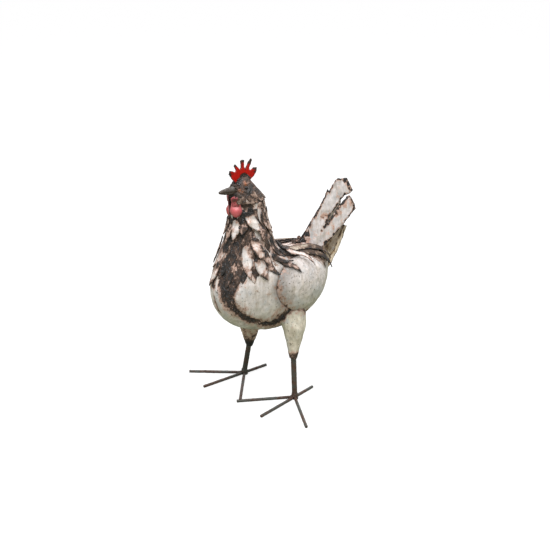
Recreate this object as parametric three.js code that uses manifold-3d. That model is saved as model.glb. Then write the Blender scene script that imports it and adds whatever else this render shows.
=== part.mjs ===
// Hen garden statue, welded from hammered sheet steel and round rod, painted white over rust.
// Millimetres, +Z up. The hen faces -Y and its left side is +X. It stands on its toe rods at Z = 0.
// Each sheet, rod and plate is a closed solid of its own. The body stands for a hollow welded shell.
import * as THREE from "three";
import { mergeVertices } from "three/addons/utils/BufferGeometryUtils.js";
import Module from "manifold-3d";

const FIGURE_HEIGHT = 481; // ground to the highest point of the comb
const STANCE = 152; // between the two foot bosses, centre to centre
const LEG_D = 10; // leg rod
const TOE_D = 6; // toe rods
const BOSS_D = 16; // welded boss under each leg
const BOSS_H = 12;
const SHEET = 1.2; // feathers, wings and tail
const PLATE = 3; // the flat plate of the comb
const GAP = 0.35; // between pieces that touch
const LAY = 1.1; // between a feather and what it lies on
const TIP_FLARE = 1.5; // how far a neck feather's point lifts off
const WING_BULGE = 13; // height of a wing's dome over the flank
const WING_RIM = 1.8; // a wing's wall at its rim
const TAIL_OPENING = 13; // degrees that each face of the tail turns away from the middle plane
const TAIL_START = 3.6; // from the middle plane to the front edge of each tail plate
const EYE_D = 6;
const EYE_STATION = 1.75; // where it sits on the head, down from the crown
const EYE_TURN = 72; // and degrees round from the beak
const WATTLE_SHEET = 2.4;
const WATTLE_TURN = 42; // degrees that each wattle faces away from straight ahead

const rad = THREE.MathUtils.degToRad;
const lerp = THREE.MathUtils.lerp;
const smoothstep = THREE.MathUtils.smoothstep;

// The free forms below are written at a height of 481 mm, and keep their proportions at any other.
const FORM = FIGURE_HEIGHT / 481;
const scaled = (table) => table.map((row) => row.map((value) => value * FORM));

// Stations from the top of the neck down to the belly: front Y, front Z, back Y, back Z, half width.
const BODY_STATIONS = scaled([
  [-86, 404, -21, 406, 32],
  [-86, 369, -16, 371, 35],
  [-91, 339, -8, 342, 42],
  [-104, 304, 5, 312, 51],
  [-118, 271, 38, 293, 61],
  [-131, 239, 98, 287, 67],
  [-126, 202, 139, 263, 68],
  [-105, 172, 149, 220, 64],
  [-75, 152, 126, 174, 52],
  [-31, 138, 76, 146, 30],
  [12, 135, 28, 136, 5],
]);
// The head, from its crown down to its skirt.
const HEAD_STATIONS = scaled([
  [-73, 450, -53, 451, 6],
  [-81, 442, -49, 444, 14],
  [-88, 430, -43, 434, 22],
  [-92, 417, -31, 421, 29],
  [-91, 405, -19, 407, 34],
]);

// A lofted form: every station is a flat ring through its front and back points.
class Loft {
  constructor(stations, fullness, chest) {
    this.front = new THREE.SplineCurve(stations.map((s) => new THREE.Vector2(s[0], s[1])));
    this.back = new THREE.SplineCurve(stations.map((s) => new THREE.Vector2(s[2], s[3])));
    this.width = new THREE.SplineCurve(stations.map((s) => new THREE.Vector2(s[4], 0)));
    this.last = stations.length - 1;
    this.fullness = fullness;
    this.chest = chest;
  }

  // station runs from 0 to last; turn is in degrees, 0 at the front and 90 at the hen's left.
  onSkin(station, turn) {
    const t = THREE.MathUtils.clamp(station / this.last, 0, 1);
    const front = this.front.getPoint(t);
    const back = this.back.getPoint(t);
    const swell = (x) => Math.sign(x) * Math.abs(x) ** this.fullness;
    const fore = swell(Math.cos(rad(turn)));
    const side = swell(Math.sin(rad(turn)));
    return new THREE.Vector3(
      this.width.getPoint(t).x * side * (1 + this.chest * fore),
      lerp(front.x, back.x, (1 - fore) / 2),
      lerp(front.y, back.y, (1 - fore) / 2),
    );
  }

  normal(station, turn) {
    const step = 0.01;
    const inner = THREE.MathUtils.clamp(station, step, this.last - step);
    const down = this.onSkin(inner + step, turn).sub(this.onSkin(inner - step, turn));
    const around = this.onSkin(inner, turn + 1).sub(this.onSkin(inner, turn - 1));
    return down.cross(around).normalize();
  }

  lifted(station, turn, lift) {
    return this.onSkin(station, turn).addScaledVector(this.normal(station, turn), lift);
  }

  // The station and turn of the skin at a Y and Z, on the hen's left.
  flank(y, z) {
    const across = (station) => {
      const front = this.front.getPoint(station / this.last);
      const back = this.back.getPoint(station / this.last);
      return (back.x - front.x) * (z - front.y) - (back.y - front.y) * (y - front.x);
    };
    let above = 0;
    let below = this.last;
    for (let i = 0; i < 40; i += 1) {
      const middle = (above + below) / 2;
      if (across(middle) < 0) above = middle;
      else below = middle;
    }
    const front = this.front.getPoint(above / this.last);
    const back = this.back.getPoint(above / this.last);
    const fore = THREE.MathUtils.clamp(1 - (2 * (y - front.x)) / (back.x - front.x), -1, 1);
    const cosine = Math.sign(fore) * Math.abs(fore) ** (1 / this.fullness);
    return { station: above, turn: THREE.MathUtils.radToDeg(Math.acos(cosine)) };
  }
}

const body = new Loft(BODY_STATIONS, 0.92, 0.08);
const head = new Loft(HEAD_STATIONS, 0.96, 0.04);

// Closed mesh from rings of points, one after another, with flat ends.
function closedRings(rings) {
  const count = rings[0].length;
  const points = rings.flat();
  const faces = [];
  for (let r = 0; r + 1 < rings.length; r += 1) {
    for (let i = 0; i < count; i += 1) {
      const a = r * count + i;
      const b = r * count + ((i + 1) % count);
      faces.push(a, a + count, b, b, a + count, b + count);
    }
  }
  for (const [r, flip] of [[0, false], [rings.length - 1, true]]) {
    const centre = new THREE.Vector3();
    rings[r].forEach((p) => centre.add(p));
    points.push(centre.divideScalar(count));
    for (let i = 0; i < count; i += 1) {
      const a = r * count + i;
      const b = r * count + ((i + 1) % count);
      faces.push(points.length - 1, ...(flip ? [b, a] : [a, b]));
    }
  }
  return meshFrom(points, faces);
}

// Closed sheet of thickness between two grids of points with the same rows and columns.
function closedSheet(outer, inner) {
  const rows = outer.length;
  const columns = outer[0].length;
  const points = [...outer.flat(), ...inner.flat()];
  const at = (layer, r, c) => layer * rows * columns + r * columns + c;
  const faces = [];
  for (let r = 0; r + 1 < rows; r += 1) {
    for (let c = 0; c + 1 < columns; c += 1) {
      const o = [at(0, r, c), at(0, r, c + 1), at(0, r + 1, c + 1), at(0, r + 1, c)];
      const n = [at(1, r, c), at(1, r, c + 1), at(1, r + 1, c + 1), at(1, r + 1, c)];
      faces.push(o[0], o[3], o[2], o[0], o[2], o[1], n[0], n[2], n[3], n[0], n[1], n[2]);
    }
  }
  const rim = [];
  for (let c = 0; c + 1 < columns; c += 1) rim.push([0, c]);
  for (let r = 0; r + 1 < rows; r += 1) rim.push([r, columns - 1]);
  for (let c = columns - 1; c > 0; c -= 1) rim.push([rows - 1, c]);
  for (let r = rows - 1; r > 0; r -= 1) rim.push([r, 0]);
  rim.forEach(([r, c], i) => {
    const [r2, c2] = rim[(i + 1) % rim.length];
    faces.push(at(0, r, c), at(0, r2, c2), at(1, r, c));
    faces.push(at(0, r2, c2), at(1, r2, c2), at(1, r, c));
  });
  return meshFrom(points, faces);
}

// Turns a closed mesh right side out if it was wound the other way.
function meshFrom(points, faces) {
  let volume = 0;
  for (let i = 0; i < faces.length; i += 3) {
    const [a, b, c] = [points[faces[i]], points[faces[i + 1]], points[faces[i + 2]]];
    volume += a.dot(b.clone().cross(c)) / 6;
  }
  if (volume < 0) {
    for (let i = 0; i < faces.length; i += 3) [faces[i + 1], faces[i + 2]] = [faces[i + 2], faces[i + 1]];
  }
  const geometry = new THREE.BufferGeometry();
  geometry.setAttribute("position", new THREE.Float32BufferAttribute(points.flatMap((p) => p.toArray()), 3));
  geometry.setIndex(faces);
  return geometry;
}

// Booleans, for the pieces that are cut to fit their neighbours.
const wasm = await Module();
wasm.setup();

function solidOf(geometry) {
  const bare = geometry.clone();
  bare.deleteAttribute("normal");
  bare.deleteAttribute("uv");
  const merged = mergeVertices(bare, 1e-4);
  return new wasm.Manifold(new wasm.Mesh({
    numProp: 3,
    vertProperties: new Float32Array(merged.attributes.position.array),
    triVerts: new Uint32Array(merged.index.array),
  }));
}

function carved(geometry, ...cutters) {
  const cut = cutters.reduce((solid, cutter) => solid.subtract(solidOf(cutter)), solidOf(geometry));
  const pieces = cut.decompose().sort((a, b) => b.volume() - a.volume());
  const result = pieces[0].getMesh();
  const out = new THREE.BufferGeometry();
  out.setAttribute("position", new THREE.Float32BufferAttribute(result.vertProperties, 3));
  out.setIndex(Array.from(result.triVerts));
  return out;
}

// A loft as a closed solid, grown outwards by a clearance.
function loftSolid(loft, rows, columns, grow = 0) {
  const rings = [];
  for (let r = 0; r <= rows; r += 1) {
    const station = (loft.last * r) / rows;
    const ring = [];
    const endwise = r === 0 ? grow : r === rows ? -grow : 0;
    for (let c = 0; c < columns; c += 1) {
      const p = loft.lifted(station, (360 * c) / columns, grow);
      ring.push(p.setZ(p.z + endwise));
    }
    rings.push(ring);
  }
  return closedRings(rings);
}

const bodySolid = (grow = 0) => loftSolid(body, 24, 36, grow);
const headSolid = (grow = 0) => loftSolid(head, 8, 22, grow);

// A round bar between two points. A facet faces down, so that a level bar rests flat.
function bar(from, to, fromRadius, toRadius, sides = 10) {
  const along = to.clone().sub(from);
  const geometry = new THREE.CylinderGeometry(toRadius, fromRadius, along.length(), sides, 1);
  geometry.rotateX(Math.PI / 2);
  geometry.rotateZ(Math.PI / sides);
  const direction = along.normalize();
  const side = new THREE.Vector3(0, 0, 1).cross(direction);
  if (side.lengthSq() < 1e-9) side.set(1, 0, 0);
  side.normalize();
  const frame = new THREE.Matrix4().makeBasis(side, direction.clone().cross(side), direction);
  geometry.applyMatrix4(frame);
  const middle = from.clone().add(to).multiplyScalar(0.5);
  geometry.translate(middle.x, middle.y, middle.z);
  return geometry;
}

// Wing: a domed sheet over the flank, an oval that leans down towards the tail.
// Its middle in Y and Z, then half its length and half its height.
const [[WING_Y, WING_Z, WING_REACH, WING_RISE]] = scaled([[33, 231, 76, 52]]);
const WING_LEAN = -16; // degrees

// How far from its middle a point of the flank is, as a share of the oval. 1 is the rim.
function wingShare(y, z) {
  const along = Math.cos(rad(WING_LEAN)) * (y - WING_Y) + Math.sin(rad(WING_LEAN)) * (z - WING_Z);
  const across = Math.cos(rad(WING_LEAN)) * (z - WING_Z) - Math.sin(rad(WING_LEAN)) * (y - WING_Y);
  return Math.hypot(along / WING_REACH, across / WING_RISE);
}

const wingDome = (share) => WING_BULGE * Math.max(0, 1 - share ** 2) ** 0.75;

// Height of the wing's top over the flank, falling to nothing just outside its rim.
function wingRise(y, z) {
  const share = wingShare(y, z);
  const rim = LAY + WING_RIM;
  if (share < 1) return rim + wingDome(share);
  return rim * Math.max(0, 1 - (share - 1) / 0.3);
}

function wing(side, grow = 0) {
  const rings = 6;
  const spokes = 24;
  const outer = [];
  const inner = [];
  for (let r = 0; r <= rings; r += 1) {
    const share = (r / rings) * (1 + grow / WING_RISE);
    const outerRing = [];
    const innerRing = [];
    for (let s = 0; s < spokes; s += 1) {
      const along = WING_REACH * share * Math.cos((2 * Math.PI * s) / spokes);
      const across = WING_RISE * share * Math.sin((2 * Math.PI * s) / spokes);
      const y = WING_Y + along * Math.cos(rad(WING_LEAN)) - across * Math.sin(rad(WING_LEAN));
      const z = WING_Z + along * Math.sin(rad(WING_LEAN)) + across * Math.cos(rad(WING_LEAN));
      const spot = body.flank(y, z);
      const place = (lift) => {
        const p = body.lifted(spot.station, spot.turn, lift);
        return p.setX(p.x * side);
      };
      outerRing.push(place(LAY + WING_RIM + wingDome(share) + grow));
      innerRing.push(place(LAY - grow));
    }
    outer.push(outerRing);
    inner.push(innerRing);
  }
  const points = [outer[0][0], ...outer.slice(1).flat(), inner[0][0], ...inner.slice(1).flat()];
  const half = 1 + rings * spokes;
  const faces = [];
  const at = (layer, r, s) => layer * half + (r === 0 ? 0 : 1 + (r - 1) * spokes + (s % spokes));
  for (let s = 0; s < spokes; s += 1) {
    faces.push(at(0, 0, 0), at(0, 1, s), at(0, 1, s + 1));
    faces.push(at(1, 0, 0), at(1, 1, s + 1), at(1, 1, s));
    for (let r = 1; r < rings; r += 1) {
      for (const layer of [0, 1]) {
        const near = [at(layer, r, s), at(layer, r, s + 1)];
        const far = [at(layer, r + 1, s), at(layer, r + 1, s + 1)];
        if (layer === 0) faces.push(near[0], far[0], far[1], near[0], far[1], near[1]);
        else faces.push(near[0], far[1], far[0], near[0], near[1], far[1]);
      }
    }
    faces.push(at(0, rings, s), at(1, rings, s), at(0, rings, s + 1));
    faces.push(at(0, rings, s + 1), at(1, rings, s), at(1, rings, s + 1));
  }
  return meshFrom(points, faces);
}

// A pointed feather cut from sheet, lying down the body from its root to its tip.
// Layer counts the feathers under its root, and climb those that its lower half rides over as well.
function feather(cut, side = 1, flare = TIP_FLARE) {
  const [fromStation, fromTurn, toStation, toTurn, width, layer, climb] = cut;
  const rows = 8;
  const columns = 2;
  const outer = [];
  const inner = [];
  const place = (station, turn, lift) => {
    const p = body.lifted(station, turn, lift);
    return p.setX(p.x * side);
  };
  for (let r = 0; r <= rows; r += 1) {
    const down = r / rows;
    const station = lerp(fromStation, toStation, down);
    const middle = lerp(fromTurn, toTurn, down);
    const shape = down < 0.55 ? lerp(0.7, 1, down / 0.55) : lerp(1, 0.05, (down - 0.55) / 0.45);
    const under = layer + climb * smoothstep(down, 0.25, 0.5);
    const lift = LAY + (SHEET + LAY) * under + flare * Math.max(0, (down - 0.5) / 0.5) ** 2;
    const around = body.onSkin(station, middle + 1).distanceTo(body.onSkin(station, middle - 1)) / 2;
    const outerRow = [];
    const innerRow = [];
    for (let c = 0; c <= columns; c += 1) {
      const offset = ((width * FORM * shape) / 2) * ((2 * c) / columns - 1);
      const turn = middle + offset / around;
      const skin = body.onSkin(station, turn);
      const base = lift + wingRise(skin.y, skin.z);
      innerRow.push(place(station, turn, base));
      outerRow.push(place(station, turn, base + SHEET));
    }
    outer.push(outerRow);
    inner.push(innerRow);
  }
  return closedSheet(outer, inner);
}

// Feathers: root station and turn, tip station and turn, width, layer, climb.
const FEATHERS = {
  collar: [
    [1.0, -8, 2.45, -8, 12, 0, 2],
    [0.88, 10, 2.15, 12, 15, 1, 2],
    [0.88, 33, 1.75, 31, 13, 0, 2],
    [0.45, 50, 1.6, 74, 15, 1, 2],
    [0.95, 76, 2.4, 87, 13, 0, 2],
    [0.55, 96, 1.95, 114, 12, 1, 1],
    [0.9, -30, 2.1, -34, 15, 1, 0],
    [0.6, -58, 2.1, -68, 17, 0, 0],
    [0.6, -90, 2.1, -106, 17, 1, 0],
    [0.5, 134, 1.85, 140, 18, 0, 0],
    [0.5, -136, 2.1, -150, 20, 0, 0],
  ],
  hackle: [
    [2.2, 15, 3.4, 16, 15, 0, 0],
    [2.3, 43, 4.2, 50, 17, 0, 0],
    [1.9, 59, 3.3, 76, 15, 1, 2],
    [3.0, 66, 4.6, 71, 17, 1, 0],
    [2.7, 86, 4.7, 85, 12, 0, 0],
    [2.75, -10, 4.0, -34, 14, 0, 0],
    [3.4, -12, 4.85, -16, 13, 1, 0],
    [2.3, -46, 4.1, -54, 18, 1, 0],
    [2.8, -72, 4.6, -76, 19, 0, 0],
    [2.3, -96, 4.4, -98, 16, 1, 0],
  ],
  shoulder: [
    [2.15, 110, 3.9, 121, 11, 0, 0],
    [3.1, 98, 4.4, 110, 11, 1, 0],
    [3.4, 138, 5.35, 113, 11, 3, 0],
    [3.7, 105, 5.2, 99, 11, 0, 0],
    [2.4, -118, 4.4, -112, 15, 0, 0],
  ],
};
const SADDLE = [
  [3.2, 131, 6.6, 148, 19, 0.2, 0],
  [2.8, 147, 6.3, 158, 21, 1.5, 0],
  [2.9, 161, 5.7, 159, 14, 0.2, 0],
];
const SADDLE_FLARE = [7, 3, 2];

// A flat tail plate cut from sheet, with a slit up from its tip. Its outline runs in Y and Z,
// and the plate is turned out about the front edge of the tail.
const [TAIL_ROOT, TAIL_TIP] = scaled([[72, 284], [188, 403]]).map((p) => new THREE.Vector2(...p));

function tailPlate(outline, side) {
  const slope = TAIL_TIP.clone().sub(TAIL_ROOT).angle();
  const corners = outline.map(([y, z]) => {
    const corner = new THREE.Vector2(y, z).sub(TAIL_ROOT).rotateAround(new THREE.Vector2(), -slope);
    return corner.setY(-corner.y);
  });
  const plate = new THREE.ExtrudeGeometry(new THREE.Shape(corners), { depth: SHEET, bevelEnabled: false });
  const behind = new THREE.Vector3(
    Math.sin(rad(TAIL_OPENING)),
    Math.cos(rad(TAIL_OPENING)) * Math.sin(slope),
    -Math.cos(rad(TAIL_OPENING)) * Math.cos(slope),
  );
  const along = new THREE.Vector3(0, Math.cos(slope), Math.sin(slope));
  plate.applyMatrix4(new THREE.Matrix4().makeBasis(along, behind, along.clone().cross(behind)));
  plate.translate(TAIL_START * FORM, TAIL_ROOT.x, TAIL_ROOT.y);
  const position = plate.attributes.position;
  const points = Array.from({ length: position.count }, (_, i) => {
    const p = new THREE.Vector3().fromBufferAttribute(position, i);
    return p.setX(p.x * side);
  });
  return meshFrom(points, points.map((_, i) => i));
}

const TAIL_PLATES = {
  left: scaled([
    [66, 284], [92, 302], [111, 325], [131, 350], [151, 372], [153, 378], [159, 386], [163, 381],
    [172, 392], [180, 400], [187, 404], [194, 402], [210, 401], [216, 388], [222, 376], [211, 371],
    [197, 369], [186, 358], [172, 345], [157, 330], [148, 318], [147, 312], [151, 316], [160, 325],
    [173, 338], [191, 353], [206, 363], [213, 365], [219, 355], [224, 342], [225, 335], [211, 325],
    [191, 308], [166, 291], [144, 276], [113, 255], [90, 270],
  ]),
  right: scaled([
    [66, 284], [98, 301], [137, 343], [160, 366], [188, 393], [206, 395], [215, 386], [220, 375],
    [197, 367], [186, 357], [172, 344], [157, 330], [149, 318], [152, 315], [161, 324], [174, 337],
    [191, 351], [212, 362], [222, 343], [223, 336], [202, 318], [180, 301], [144, 276], [113, 255],
    [90, 270],
  ]),
};

// The bent cover that closes the tail from behind and below.
function tailCover() {
  const rows = 5;
  const columns = 6;
  const outer = [];
  const inner = [];
  for (let r = 0; r <= rows; r += 1) {
    const up = r / rows;
    const outerRow = [];
    const innerRow = [];
    for (let c = 0; c <= columns; c += 1) {
      const v = (2 * c) / columns - 1;
      const x = v * lerp(30, 20, up) * FORM;
      const y = (lerp(147, 209, up) + 5 * Math.sin(Math.PI * up) - 14 * v * v) * FORM;
      const z = (lerp(222, 300, up) + 6 * v * v) * FORM;
      const back = new THREE.Vector3(v * 0.7, 1, -0.55).normalize();
      innerRow.push(new THREE.Vector3(x, y, z));
      outerRow.push(new THREE.Vector3(x, y, z).addScaledVector(back, SHEET));
    }
    outer.push(outerRow);
    inner.push(innerRow);
  }
  return closedSheet(outer, inner);
}

// Comb: a flat plate with five points. Angles in degrees from the rear, radii from the middle of the crown.
function comb() {
  const centre = { y: -63 * FORM, z: 446 * FORM };
  const points = [
    [0, 24], [15, 33], [27, 36.7], [33, 30], [36, 23], [54, 26], [57.5, 38.5], [61, 39.9], [68, 33],
    [76, 20], [86, 27], [88.5, 35.5], [101, 35.5], [104.5, 26], [114, 24], [120, 29], [123, 36.2],
    [131, 35], [134, 29],
    [141, 28], [148, 38.6], [159, 36.4], [172, 28], [190, 20], [270, 12],
  ];
  const outline = new THREE.Shape(points.map(([angle, radius]) => new THREE.Vector2(
    centre.y + radius * FORM * Math.cos(rad(angle)),
    centre.z + radius * FORM * Math.sin(rad(angle)),
  )));
  const plate = new THREE.ExtrudeGeometry(outline, { depth: PLATE, bevelEnabled: false, steps: 1 });
  plate.translate(0, 0, -PLATE / 2);
  plate.applyMatrix4(new THREE.Matrix4().makeBasis(
    new THREE.Vector3(0, 1, 0),
    new THREE.Vector3(0, 0, 1),
    new THREE.Vector3(1, 0, 0),
  ));
  return carved(plate, headSolid(GAP));
}

// Beak: a bent cone, blunt at its tip, butted against the front of the head.
function beak() {
  const stations = scaled([
    [-70, 428, 12, 10],
    [-92, 428, 9, 8],
    [-104, 428.5, 6, 5],
    [-114, 429, 4.2, 3.4],
    [-121, 429.5, 2.6, 2.2],
  ]);
  const rings = stations.map(([y, z, high, wide]) => Array.from({ length: 12 }, (_, i) => {
    const angle = (2 * Math.PI * i) / 12;
    return new THREE.Vector3(wide * Math.cos(angle), y, z + high * Math.sin(angle));
  }));
  return carved(closedRings(rings), headSolid(GAP));
}

// Wattle: a spoon-shaped drop of sheet, hanging from the throat and turned out to its side.
function wattle(side) {
  const rows = 7;
  const columns = 4;
  const outer = [];
  const inner = [];
  const length = 36 * FORM;
  const width = 21 * FORM;
  const top = new THREE.Vector3(6 * side, -85.5, 417).multiplyScalar(FORM);
  const outward = new THREE.Vector3(side * Math.sin(rad(WATTLE_TURN)), -Math.cos(rad(WATTLE_TURN)), 0);
  const across = new THREE.Vector3(Math.cos(rad(WATTLE_TURN)), side * Math.sin(rad(WATTLE_TURN)), 0);
  for (let r = 0; r <= rows; r += 1) {
    const down = r / rows;
    const round = Math.sqrt(Math.max(0.02, 1 - Math.max(0, (down - 0.65) / 0.35) ** 2));
    const half = (width / 2) * lerp(0.3, 1, smoothstep(down, 0, 0.6)) * round;
    const outerRow = [];
    const innerRow = [];
    for (let c = 0; c <= columns; c += 1) {
      const v = (2 * c) / columns - 1;
      const p = top.clone().addScaledVector(across, v * half);
      p.z -= length * down;
      p.addScaledVector(outward, 8 - 2 * down - 2 * v * v);
      innerRow.push(p);
      outerRow.push(p.clone().addScaledVector(outward, WATTLE_SHEET));
    }
    outer.push(outerRow);
    inner.push(innerRow);
  }
  return carved(closedSheet(outer, inner), headSolid(GAP), bodySolid(GAP));
}

// Eye: a domed rivet head set on the side of the head.
function eye(side) {
  const profile = [[0, 0], [1, 0], [1, 0.25], [0.7, 0.6], [0, 0.75]];
  const curve = profile.map(([r, h]) => new THREE.Vector2(r, h).multiplyScalar(EYE_D / 2));
  const geometry = new THREE.LatheGeometry(curve, 12);
  geometry.rotateX(Math.PI / 2);
  const turn = EYE_TURN * side;
  const out = head.normal(EYE_STATION, turn);
  geometry.applyQuaternion(new THREE.Quaternion().setFromUnitVectors(new THREE.Vector3(0, 0, 1), out));
  const at = head.lifted(EYE_STATION, turn, -0.4);
  geometry.translate(at.x, at.y, at.z);
  return carved(geometry, headSolid(GAP));
}

// Each leg: the middle and radius of its thigh cone inside the body and above the rod,
// how late the cone opens out, and the turn of its foot in degrees.
const LEGS = {
  left: { side: 1, hip: [52.5, 20.5, 186, 35], knee: [73, -2, 89, 8], opening: 1.15, turnOut: 8 },
  right: { side: -1, hip: [-55, -2, 182, 36], knee: [-61, 2, 70, 6.2], opening: 0.82, turnOut: -3.4 },
};
// Toe rods of either foot: degrees from straight ahead towards the hen's left, and reach as a share
// of the stance.
const SIDE_TOES = { right_toe: { angle: -41.8, reach: 0.763 }, left_toe: { angle: 48.4, reach: 0.809 } };
const LONG_TOE = { ahead: 0.684, behind: 0.382 };

function thighCone({ hip, knee, opening }, grow = 0) {
  const [[hipX, hipY, hipZ, hipRadius], [kneeX, kneeY, kneeZ, kneeRadius]] = scaled([hip, knee]);
  const foot = new THREE.Vector3(kneeX, kneeY, kneeZ);
  const top = new THREE.Vector3(hipX, hipY, hipZ);
  const length = foot.distanceTo(top);
  const steps = 5;
  const profile = [new THREE.Vector2(0, -grow)];
  for (let i = 0; i <= steps; i += 1) {
    const up = i / steps;
    const radius = lerp(kneeRadius, hipRadius, up ** opening);
    profile.push(new THREE.Vector2(radius + grow, i === 0 ? -grow : length * up));
  }
  profile.push(new THREE.Vector2(0, length));
  const geometry = new THREE.LatheGeometry(profile, 16);
  const axis = top.clone().sub(foot).normalize();
  geometry.applyQuaternion(new THREE.Quaternion().setFromUnitVectors(new THREE.Vector3(0, 1, 0), axis));
  geometry.translate(foot.x, foot.y, foot.z);
  return geometry;
}

const bossCentre = ({ side }) => new THREE.Vector3((side * STANCE) / 2, 0, 0);

function boss(leg, grow = 0) {
  const centre = bossCentre(leg);
  const low = centre.clone().setZ(-grow);
  const high = centre.clone().setZ(BOSS_H + grow);
  return bar(low, high, BOSS_D / 2 + grow, BOSS_D / 2 - 1.5 + grow, 12);
}

const toeHeight = (TOE_D / 2) * Math.cos(Math.PI / 10); // a facet rests on the ground

function heading(leg, angle) {
  const turned = rad(angle + leg.turnOut);
  return new THREE.Vector3(Math.sin(turned), -Math.cos(turned), 0);
}

function longToe(leg, grow = 0) {
  const centre = bossCentre(leg).setZ(toeHeight);
  const ahead = heading(leg, 0);
  return bar(
    centre.clone().addScaledVector(ahead, -LONG_TOE.behind * STANCE - grow),
    centre.clone().addScaledVector(ahead, LONG_TOE.ahead * STANCE + grow),
    TOE_D / 2 + grow,
    TOE_D / 2 + grow,
  );
}

function sideToe(leg, { angle, reach }) {
  const centre = bossCentre(leg).setZ(toeHeight);
  const narrowest = rad(Math.min(...Object.values(SIDE_TOES).map((toe) => Math.abs(toe.angle))));
  const start = Math.max(BOSS_D / 2 + GAP, (TOE_D + GAP) / 2 / Math.tan(narrowest / 2));
  const way = heading(leg, angle);
  return bar(
    centre.clone().addScaledVector(way, start),
    centre.clone().addScaledVector(way, reach * STANCE),
    TOE_D / 2,
    TOE_D / 2,
  );
}

function legRod(leg) {
  const knee = new THREE.Vector3(...leg.knee.slice(0, 3)).multiplyScalar(FORM);
  const hip = new THREE.Vector3(...leg.hip.slice(0, 3)).multiplyScalar(FORM);
  const top = knee.clone().lerp(hip, 0.1);
  const bottom = bossCentre(leg).setZ(BOSS_H / 2);
  return carved(bar(bottom, top, LEG_D / 2, LEG_D / 2), boss(leg, GAP), thighCone(leg, GAP));
}

// Finishes
const paint = new THREE.MeshStandardMaterial({ color: 0xcfc6bf, roughness: 0.62, metalness: 0.15 });
const rust = new THREE.MeshStandardMaterial({ color: 0x5b4a40, roughness: 0.72, metalness: 0.45 });
const bare = new THREE.MeshStandardMaterial({ color: 0x453b34, roughness: 0.6, metalness: 0.6 });
const red = new THREE.MeshStandardMaterial({ color: 0xb51a10, roughness: 0.5, metalness: 0.1 });
const pink = new THREE.MeshStandardMaterial({ color: 0xb84a50, roughness: 0.45, metalness: 0.1 });
const black = new THREE.MeshStandardMaterial({ color: 0x15110f, roughness: 0.35, metalness: 0.5 });

const hen = new THREE.Group();

function add(name, geometry, material) {
  const piece = new THREE.Mesh(geometry, material);
  piece.name = name;
  hen.add(piece);
}

add("body", bodySolid(), paint);
add("head", headSolid(), rust);
add("beak", beak(), rust);
add("comb", comb(), red);

for (const [row, cuts] of Object.entries(FEATHERS)) {
  cuts.forEach((cut, i) => add(`${row}_${i + 1}`, feather(cut), paint));
}

for (const [sideName, side] of [["left", 1], ["right", -1]]) {
  const leg = LEGS[sideName];
  add(`eye_${sideName}`, eye(side), black);
  add(`wattle_${sideName}`, wattle(side), pink);
  add(`wing_${sideName}`, carved(wing(side), bodySolid(GAP)), paint);
  SADDLE.forEach((cut, i) => add(`saddle_${sideName}_${i + 1}`, feather(cut, side, SADDLE_FLARE[i]), paint));
  add(`tail_${sideName}`, carved(tailPlate(TAIL_PLATES[sideName], side), bodySolid(GAP)), paint);
  add(`thigh_${sideName}`, carved(thighCone(leg), bodySolid(GAP), wing(side, GAP)), paint);
  add(`leg_${sideName}`, legRod(leg), bare);
  add(`foot_${sideName}_boss`, carved(boss(leg), longToe(leg, GAP)), bare);
  add(`foot_${sideName}_long_toe`, longToe(leg), bare);
  for (const [toeName, toe] of Object.entries(SIDE_TOES)) {
    add(`foot_${sideName}_${toeName}`, sideToe(leg, toe), bare);
  }
}
add("tail_cover", carved(tailCover(), bodySolid(GAP)), paint);

// The origin is on the ground under the middle of the statue's box.
const box = new THREE.Box3().setFromObject(hen);
const middle = box.getCenter(new THREE.Vector3());
hen.position.set(-middle.x, -middle.y, -box.min.z);

const statue = new THREE.Group();
statue.add(hen);
export default statue;
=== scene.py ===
"""Hen garden statue, welded from hammered sheet steel and rod, with rust showing through white paint.

Shapes are worked out in millimetres from the point on the ground midway between the two feet.
The hen faces -Y and its left side is +X.
"""

import functools
import math
import random

import bmesh
import bpy
from bpy.props import FloatProperty, FloatVectorProperty, PointerProperty
from bpy.types import Operator, Panel, PropertyGroup
from mathutils import Matrix, Vector, noise
from mathutils.kdtree import KDTree


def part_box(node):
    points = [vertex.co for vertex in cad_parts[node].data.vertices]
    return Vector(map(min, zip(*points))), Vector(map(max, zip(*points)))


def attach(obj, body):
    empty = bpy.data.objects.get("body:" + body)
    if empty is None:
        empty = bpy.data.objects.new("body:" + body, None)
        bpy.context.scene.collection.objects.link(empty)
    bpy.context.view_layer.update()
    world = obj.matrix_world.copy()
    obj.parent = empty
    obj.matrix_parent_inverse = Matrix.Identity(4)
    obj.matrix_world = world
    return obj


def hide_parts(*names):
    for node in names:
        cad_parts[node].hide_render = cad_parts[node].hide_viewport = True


bl_info = {
    "name": "Hen Garden Statue",
    "version": (1, 0, 0),
    "blender": (4, 5, 0),
    "location": "View3D > Sidebar > Hen",
    "description": "Dresses a welded sheet steel hen in hammered metal, worn paint and rust",
    "category": "Object",
}

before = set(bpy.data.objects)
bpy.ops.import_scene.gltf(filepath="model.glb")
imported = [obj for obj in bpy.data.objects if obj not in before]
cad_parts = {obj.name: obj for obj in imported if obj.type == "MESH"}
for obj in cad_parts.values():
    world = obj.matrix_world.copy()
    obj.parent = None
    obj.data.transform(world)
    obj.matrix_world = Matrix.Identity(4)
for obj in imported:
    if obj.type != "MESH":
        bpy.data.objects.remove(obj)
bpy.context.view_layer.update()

MM = 0.001
SIDES = {"left": 1, "right": -1}
LEFT, BACK, UP = Vector((1, 0, 0)), Vector((0, 1, 0)), Vector((0, 0, 1))
LEFT_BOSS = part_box("foot_left_boss")
RIGHT_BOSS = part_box("foot_right_boss")
BETWEEN_FEET = (LEFT_BOSS[0] + LEFT_BOSS[1] + RIGHT_BOSS[0] + RIGHT_BOSS[1]) / 4
BETWEEN_FEET.z = 0

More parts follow.
